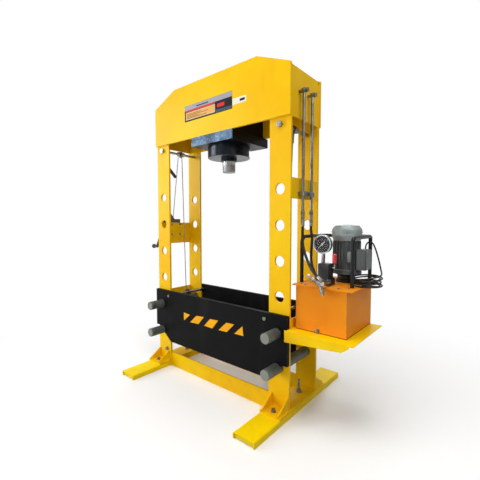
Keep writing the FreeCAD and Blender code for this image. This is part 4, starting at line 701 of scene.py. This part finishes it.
weldSet("gussetWelds", weldRun(place(0, -250, 44), place(0, -160, 44)),
        [(side * weld["foot"] + offset, y, 0) for side in (-1, 1) for offset in (-56, -48, 48, 56)
         for y in (0, 410)])
weldSet("barWelds", weldRun(place(-60, 0, 0), place(60, 0, 0)),
        [(side * weld["bar"], y, z) for side in (-1, 1)
         for y, z in ((-157, 44), (157, 44), (-158.5, 1617), (158.5, 1617))])
weldSet("beamWelds", weldRun(place(0, 0, 2), place(0, 0, 98)),
        [(side * weld["beam"], y, 0) for side in (-1, 1) for y in (-151, 151)])
weldSet("plateWelds", weldRun(place(0, 0, 0), place(0, 0, 100), weld["thin"]),
        [(side * weld["plate"], y, z) for side, rises in ((-1, (442, 904, 955)), (1, (442, 1195)))
         for y in (-144, 144) for z in rises])


print("motor")
motor = {"x": 770.0, "y": 115.0}
fan = {"low": 962.0, "steps": 64, "merge": 0.0004, "wall": 0.0015, "slots": 16, "slotArc": 5.7,
       "slotInner": 0.028, "slotOuter": 0.052, "slotLow": 0.08, "slotGap": 0.0008,
       "profile": [(64.5, 0), (69, 0), (72, 3), (77, 17), (79.6, 25), (80.6, 29), (80.6, 34), (79.0, 36),
                   (79.0, 61), (78.2, 63.5), (66, 80.5), (62, 83.6), (24, 87.6), (20, 86.0), (12, 85.4),
                   (0.3, 85.4)]}
shield = {"low": 797.0, "steps": 72, "merge": 0.0002,
          "profile": [(62, 0), (75.0, 0), (76.0, 1.5), (76.0, 10), (75.0, 12), (70, 13), (62, 13)]}


def aroundMotor(angle, reach, z):
    return place(motor["x"] + reach * math.cos(angle), motor["y"] + reach * math.sin(angle), z)


def spinProfile(ring):
    # turns the open piece's outline round the motor's axis
    centre = place(motor["x"], motor["y"], ring["low"])
    bpy.ops.mesh.select_all(action='SELECT')
    bpy.ops.mesh.spin(steps=ring["steps"], angle=2 * math.pi, center=centre, axis=(0, 0, 1))
    bpy.ops.mesh.select_all(action='SELECT')
    bpy.ops.mesh.remove_doubles(threshold=ring["merge"])
    bpy.ops.mesh.normals_make_consistent(inside=False)


def makeFanCover():
    # a pressed steel cap spun round the motor's axis, with air slots in its top
    deselectAll()
    centre = place(motor["x"], motor["y"], fan["low"])
    bpy.ops.mesh.primitive_plane_add(size=0.01, location=(0, 0, 0))
    cover = bpy.context.object
    openPiece(cover, 'VERT')
    home = cover.data.vertices[0].co.copy()
    pick("verts", lambda v: v.index > 0)
    bpy.ops.mesh.delete(type='VERT')
    start = centre + Vector((fan["profile"][0][0] / 1000, 0, fan["profile"][0][1] / 1000))
    bpy.ops.mesh.select_all(action='SELECT')
    bpy.ops.transform.translate(value=start - home)
    for before, after in zip(fan["profile"], fan["profile"][1:]):
        move = ((after[0] - before[0]) / 1000, 0, (after[1] - before[1]) / 1000)
        bpy.ops.mesh.extrude_region_move(TRANSFORM_OT_translate={"value": move})
    spinProfile(fan)
    bpy.ops.mesh.select_mode(type='FACE')

    def slotFace(face):
        spot = face.calc_center_median() - centre
        around = math.degrees(math.atan2(spot.y, spot.x)) % (360 / fan["slots"])
        onTop = fan["slotInner"] < math.hypot(spot.x, spot.y) < fan["slotOuter"] and spot.z > fan["slotLow"]
        return onTop and around < fan["slotArc"]

    pick("faces", slotFace)
    bpy.ops.mesh.inset(thickness=fan["slotGap"], depth=0)
    bpy.ops.mesh.delete(type='FACE')
    bpy.ops.object.mode_set(mode='OBJECT')
    wall = cover.modifiers.new("wall", 'SOLIDIFY')
    wall.thickness = fan["wall"]
    wall.offset = -1
    closePiece(cover, "fanCap", fanSilver, smooth=24)
    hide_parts("fan_cover")


def makeEndShield():
    # the cast ring under the cooling fins
    deselectAll()
    centre = place(motor["x"], motor["y"], shield["low"])
    bpy.ops.mesh.primitive_circle_add(vertices=len(shield["profile"]), radius=0.01, location=(0, 0, 0))
    ring = bpy.context.object
    openPiece(ring, 'VERT')
    homes = [v.co.copy() for v in ring.data.vertices]
    for i, (out, up) in enumerate(shield["profile"]):
        pick("verts", lambda v: v.index == i)
        bpy.ops.transform.translate(value=centre + Vector((out / 1000, 0, up / 1000)) - homes[i])
    spinProfile(shield)
    bpy.ops.object.mode_set(mode='OBJECT')
    closePiece(ring, "endShield", boxGrey, smooth=35)


makeFanCover()
makeEndShield()


print("gauge")
gauge = {"x": 705.0, "z": 948.0, "dial": -48.0, "radius": 44.2, "thick": 0.0008, "rim": 0.0015,
         "glass": -53.2, "glassRadius": 44.6, "glassThick": 0.0010, "start": -135.0, "sweep": 270.0,
         "steps": 30, "longEvery": 5, "longTick": (7.0, 1.0), "shortTick": (4.0, 0.5), "tickReach": 42,
         "tickDepth": 0.0003, "markLift": 1.0, "numberReach": 29,
         "numberSize": 0.0085, "numberDepth": 0.00012, "numbers": ("0", "10", "20", "30", "40", "50", "60"),
         "clear": (0.97, 0.98, 0.98, 1), "faint": (0.93, 0.95, 0.95, 1), "bending": 1.12}


def makeDisc(radius, thick, front, inset):
    # a round plate facing the front, with a shallow rim
    deselectAll()
    bpy.ops.mesh.primitive_cylinder_add(
        vertices=64, radius=radius / 1000, depth=thick, rotation=(math.pi / 2, 0, 0),
        location=place(gauge["x"], front, gauge["z"]) - Vector((0, thick / 2, 0)))
    plate = applied(bpy.context.object)
    openPiece(plate)
    pick("faces", lambda f: f.normal.y < -0.9)
    bpy.ops.mesh.inset(thickness=inset, depth=0)
    bpy.ops.mesh.extrude_region_move(TRANSFORM_OT_translate={"value": (0, thick * 0.25, 0)})
    bpy.ops.object.mode_set(mode='OBJECT')
    return plate


def makeGlass(name):
    bench = newBench(name)
    haze = bench.span(bench.noise(30.0, 4.0, 0.6), 0.45, 0.8, 0.02, 0.10)
    clouds = bench.span(bench.noise(12.0), 0.4, 0.7)
    bench.surface(bench.mixed(clouds, gauge["clear"], gauge["faint"]), haze)
    bench.feed(bench.shader.inputs["Transmission Weight"], 1.0)
    bench.feed(bench.shader.inputs["IOR"], gauge["bending"])
    return bench.owner


def scaleAngle(share):
    return math.radians(gauge["start"] + gauge["sweep"] * share)


def turnedMark(share):
    # turns a mark at the top of the dial to its share of the scale
    centre = place(gauge["x"], 0, gauge["z"])
    turn = Matrix.Rotation(scaleAngle(share), 4, 'Y')
    return Matrix.Translation(centre) @ turn @ Matrix.Translation(-centre)


def makeTick(length, width):
    deselectAll()
    top = place(gauge["x"], gauge["dial"] - gauge["markLift"], gauge["z"] + gauge["tickReach"] - length / 2)
    bpy.ops.mesh.primitive_cube_add(size=1, location=top,
                                    scale=(width / 1000, gauge["tickDepth"], length / 1000))
    tick = applied(bpy.context.object)
    openPiece(tick, 'EDGE')
    pick("edges", lambda e: abs(e.verts[0].co.y - e.verts[1].co.y) > 0.0001)
    bpy.ops.mesh.bevel(offset=width / 4000, segments=2, affect='EDGES')
    bpy.ops.object.mode_set(mode='OBJECT')
    return tick


def makeNumber(word, angle):
    deselectAll()
    bpy.ops.object.text_add(location=(0, 0, 0), rotation=(math.pi / 2, 0, 0))
    number = bpy.context.object
    number.data.body = word
    number.data.size = gauge["numberSize"]
    number.data.align_x = 'CENTER'
    number.data.align_y = 'CENTER'
    number.data.extrude = gauge["numberDepth"]
    reach = gauge["numberReach"]
    number.location = place(gauge["x"] + reach * math.sin(angle), gauge["dial"] - gauge["markLift"],
                            gauge["z"] + reach * math.cos(angle))
    bpy.ops.object.convert(target='MESH')
    return applied(bpy.context.object)


closePiece(makeDisc(gauge["radius"], gauge["thick"], gauge["dial"], gauge["rim"]), "gaugeDial", dialBlack,
           smooth=30)
closePiece(makeDisc(gauge["glassRadius"], gauge["glassThick"], gauge["glass"], gauge["glassThick"]),
           "gaugeGlass", makeGlass("gaugeClear"), smooth=30)
marks = []
longTick = makeTick(*gauge["longTick"])
shortTick = makeTick(*gauge["shortTick"])
for i in range(gauge["steps"] + 1):
    tick = shortTick if i % gauge["longEvery"] else longTick
    marks.append(copied(tick, turnedMark(i / gauge["steps"])))
bpy.data.objects.remove(longTick)
bpy.data.objects.remove(shortTick)
for i, word in enumerate(gauge["numbers"]):
    marks.append(makeNumber(word, scaleAngle(i / (len(gauge["numbers"]) - 1))))
closePiece(joinAll(marks), "dialMarks", dialGrey)


print("fittings")
capScrew = {"radius": 0.0042, "height": 0.0035, "socket": 0.0022, "round": 0.0005, "deep": 0.0018}
boxFace = {"x": 891.8, "y": (82, 148), "z": (820, 910)}
screwRings = {"flangeScrews": {"start": 45, "reach": 74, "z": 796.8, "size": 1.5, "outwards": False},
              "coverScrews": {"start": 20, "reach": 79, "z": 1010, "size": 0.8, "outwards": True}}


def makeCapScrew():
    # a socket screw standing on the floor plane, copied to each place
    deselectAll()
    bpy.ops.mesh.primitive_cylinder_add(vertices=20, radius=capScrew["radius"], depth=capScrew["height"],
                                        location=(0, 0, capScrew["height"] / 2))
    screw = applied(bpy.context.object)
    openPiece(screw)
    pick("faces", lambda f: f.normal.z > 0.9)
    bpy.ops.mesh.bevel(offset=capScrew["round"], segments=2, affect='EDGES')
    pick("faces", lambda f: f.normal.z > 0.95 and f.calc_area() > 0.00002)
    bpy.ops.mesh.inset(thickness=capScrew["radius"] - capScrew["socket"] - capScrew["round"], depth=0)
    bpy.ops.mesh.extrude_region_move(TRANSFORM_OT_translate={"value": (0, 0, -capScrew["deep"])})
    bpy.ops.object.mode_set(mode='OBJECT')
    return screw


screwBlank = makeCapScrew()
toRight = Matrix.Rotation(math.pi / 2, 4, 'Y')


def setScrews(name, moves):
    closePiece(joinAll([copied(screwBlank, move) for move in moves]), name, zincSteel, smooth=35)


def ringOfScrews(start, reach, z, size, outwards):
    # four screws round the motor, upright or pointing outwards
    moves = []
    for i in range(4):
        angle = math.radians(start + 90 * i)
        stand = Matrix.Rotation(angle, 4, 'Z') @ toRight if outwards else Matrix.Identity(4)
        moves.append(Matrix.Translation(aroundMotor(angle, reach, z)) @ stand @ Matrix.Scale(size, 4))
    return moves


setScrews("boxScrews", [Matrix.Translation(place(boxFace["x"], y, z)) @ toRight
                        for y in boxFace["y"] for z in boxFace["z"]])
for name, ring in screwRings.items():
    setScrews(name, ringOfScrews(**ring))

namePlate = {"wide": 0.036, "high": 0.056, "thick": 0.0012, "corner": 0.004, "margin": 0.002, "sunk": 0.0004,
             "rivetIn": 0.0045, "rivetSize": 0.45, "turn": -52.0, "reach": 74.2, "z": 880.0}


def makeNamePlate():
    # a blank rating plate on the fins, with its rivets
    deselectAll()
    bpy.ops.mesh.primitive_cube_add(size=1, location=(0, 0, 0),
                                    scale=(namePlate["wide"], namePlate["high"], namePlate["thick"]))
    plate = applied(bpy.context.object)
    openPiece(plate, 'EDGE')
    pick("edges", lambda e: abs(e.verts[0].co.z - e.verts[1].co.z) > namePlate["thick"] / 2)
    bpy.ops.mesh.bevel(offset=namePlate["corner"], segments=4, affect='EDGES')
    bpy.ops.mesh.select_mode(type='FACE')
    pick("faces", lambda f: f.normal.z > 0.9)
    bpy.ops.mesh.inset(thickness=namePlate["margin"], depth=-namePlate["sunk"])
    bpy.ops.object.mode_set(mode='OBJECT')
    pieces = [plate]
    x = namePlate["wide"] / 2 - namePlate["rivetIn"]
    y = namePlate["high"] / 2 - namePlate["rivetIn"]
    for spot in ((-x, -y), (-x, y), (x, -y), (x, y)):
        move = Matrix.Translation((*spot, namePlate["thick"] / 2 - namePlate["sunk"]))
        pieces.append(copied(screwBlank, move @ Matrix.Scale(namePlate["rivetSize"], 4)))
    joined = joinAll(pieces)
    angle = math.radians(namePlate["turn"])
    upright = Matrix.Rotation(math.pi / 2, 4, 'Z') @ Matrix.Rotation(math.pi / 2, 4, 'X')
    move = Matrix.Translation(aroundMotor(angle, namePlate["reach"], namePlate["z"]))
    joined.data.transform(move @ Matrix.Rotation(angle, 4, 'Z') @ upright)
    closePiece(joined, "motorPlate", plateSilver, smooth=35)


makeNamePlate()
bpy.data.objects.remove(screwBlank)


print("floor and lights")
floor = {"size": 16.0, "near": 0.9, "far": 2.3, "colour": (0.96, 0.96, 0.957, 1.0),
         "cloud": (0.5, 0.5, 0.49, 1.0), "bounce": (0.55, 0.55, 0.54, 1.0)}
deselectAll()
bpy.ops.mesh.primitive_plane_add(size=floor["size"], location=(0, 0, 0))
ground = bpy.context.object
ground.name = "studioFloor"


def makeFloorFinish():
    # pale to the camera, greyer in the light it throws up, and white further out
    bench = newBench("floorPaint")
    path = bench.add("ShaderNodeLightPath").outputs
    seen = bench.sums('MAXIMUM', path["Is Camera Ray"], path["Is Glossy Ray"])
    cloud = bench.span(bench.noise(1.2, 3.0), 0.3, 0.7, 0.0, 0.03)
    pale = bench.mixed(cloud, floor["colour"], floor["cloud"])
    bench.surface(bench.mixed(seen, floor["bounce"], pale), 0.7, specular=0.1)
    length = bench.add("ShaderNodeVectorMath", {0: bench.spot}, operation='LENGTH').outputs["Value"]
    fade = bench.times(bench.span(length, floor["near"], floor["far"], smooth=True), seen)
    white = bench.add("ShaderNodeEmission", {"Color": (1, 1, 1, 1), "Strength": 1.0}).outputs[0]
    blend = bench.add("ShaderNodeMixShader", {0: fade, 1: bench.shader.outputs[0], 2: white}).outputs[0]
    bench.feed(bench.tree.nodes["Material Output"].inputs["Surface"], blend)
    return bench.owner


ground.data.materials.append(makeFloorFinish())

# each lamp: where it stands, where it aims, its size and its power
lights = {"keyLight": ((-4.5, -3.7, 2.2), (0.0, 0.0, 0.7), 2.8, 160.0),
          "frontLight": ((-1.0, -5.6, 1.0), (0.0, 0.0, 0.7), 2.6, 56.0),
          "topLight": ((0.2, -0.9, 5.6), (0.0, -0.1, 0.0), 3.6, 170.0),
          "sideLight": ((3.3, -1.3, 3.4), (0.5, 0.0, 1.6), 1.4, 42.0),
          "backLight": ((-1.5, 3.8, 3.4), (0.0, 0.0, 1.0), 2.4, 60.0)}
for name, (spot, aim, size, power) in lights.items():
    bpy.ops.object.light_add(type='AREA', location=spot)
    lamp = bpy.context.object
    lamp.name = name
    lamp.data.size = size
    lamp.data.energy = power
    lamp.rotation_euler = (Vector(aim) - Vector(spot)).to_track_quat('-Z', 'Y').to_euler()

# the room is a little darker on the right, and metal sees it pale above and grey below
room = {"strength": 0.34, "left": 1.1, "right": 0.5, "below": (0.42, 0.42, 0.43, 1),
        "above": (0.80, 0.81, 0.82, 1), "paleFrom": 0.8}


def makeWorld():
    bpy.context.scene.world = bpy.data.worlds.new("studioWhite")
    bench = Bench(bpy.context.scene.world)
    path = bench.add("ShaderNodeLightPath").outputs
    walls = bench.span(bench.axis(bench.spots["Generated"], "X"), -1.0, 1.0, room["left"], room["right"])
    ramp = bench.add("ShaderNodeValToRGB", {"Fac": bench.axis(bench.spots["Generated"], "Z")})
    low, high = ramp.color_ramp.elements
    low.position = 0.0
    low.color = room["below"]
    high.position = room["paleFrom"]
    high.color = room["above"]

    def backdrop(colour, strength=1.0):
        return bench.add("ShaderNodeBackground", {"Color": colour, "Strength": strength}).outputs[0]

    shine = bench.add("ShaderNodeMixShader", {0: path["Is Glossy Ray"], 1: backdrop(walls, room["strength"]),
                                              2: backdrop(ramp.outputs["Color"])}).outputs[0]
    direct = bench.sums('MAXIMUM', path["Is Camera Ray"], path["Is Transmission Ray"])
    last = bench.add("ShaderNodeMixShader", {0: direct, 1: shine, 2: backdrop((1, 1, 1, 1))}).outputs[0]
    bench.feed(bench.tree.nodes["World Output"].inputs["Surface"], last)


makeWorld()
bpy.context.scene.view_settings.view_transform = 'Standard'

deselectAll()
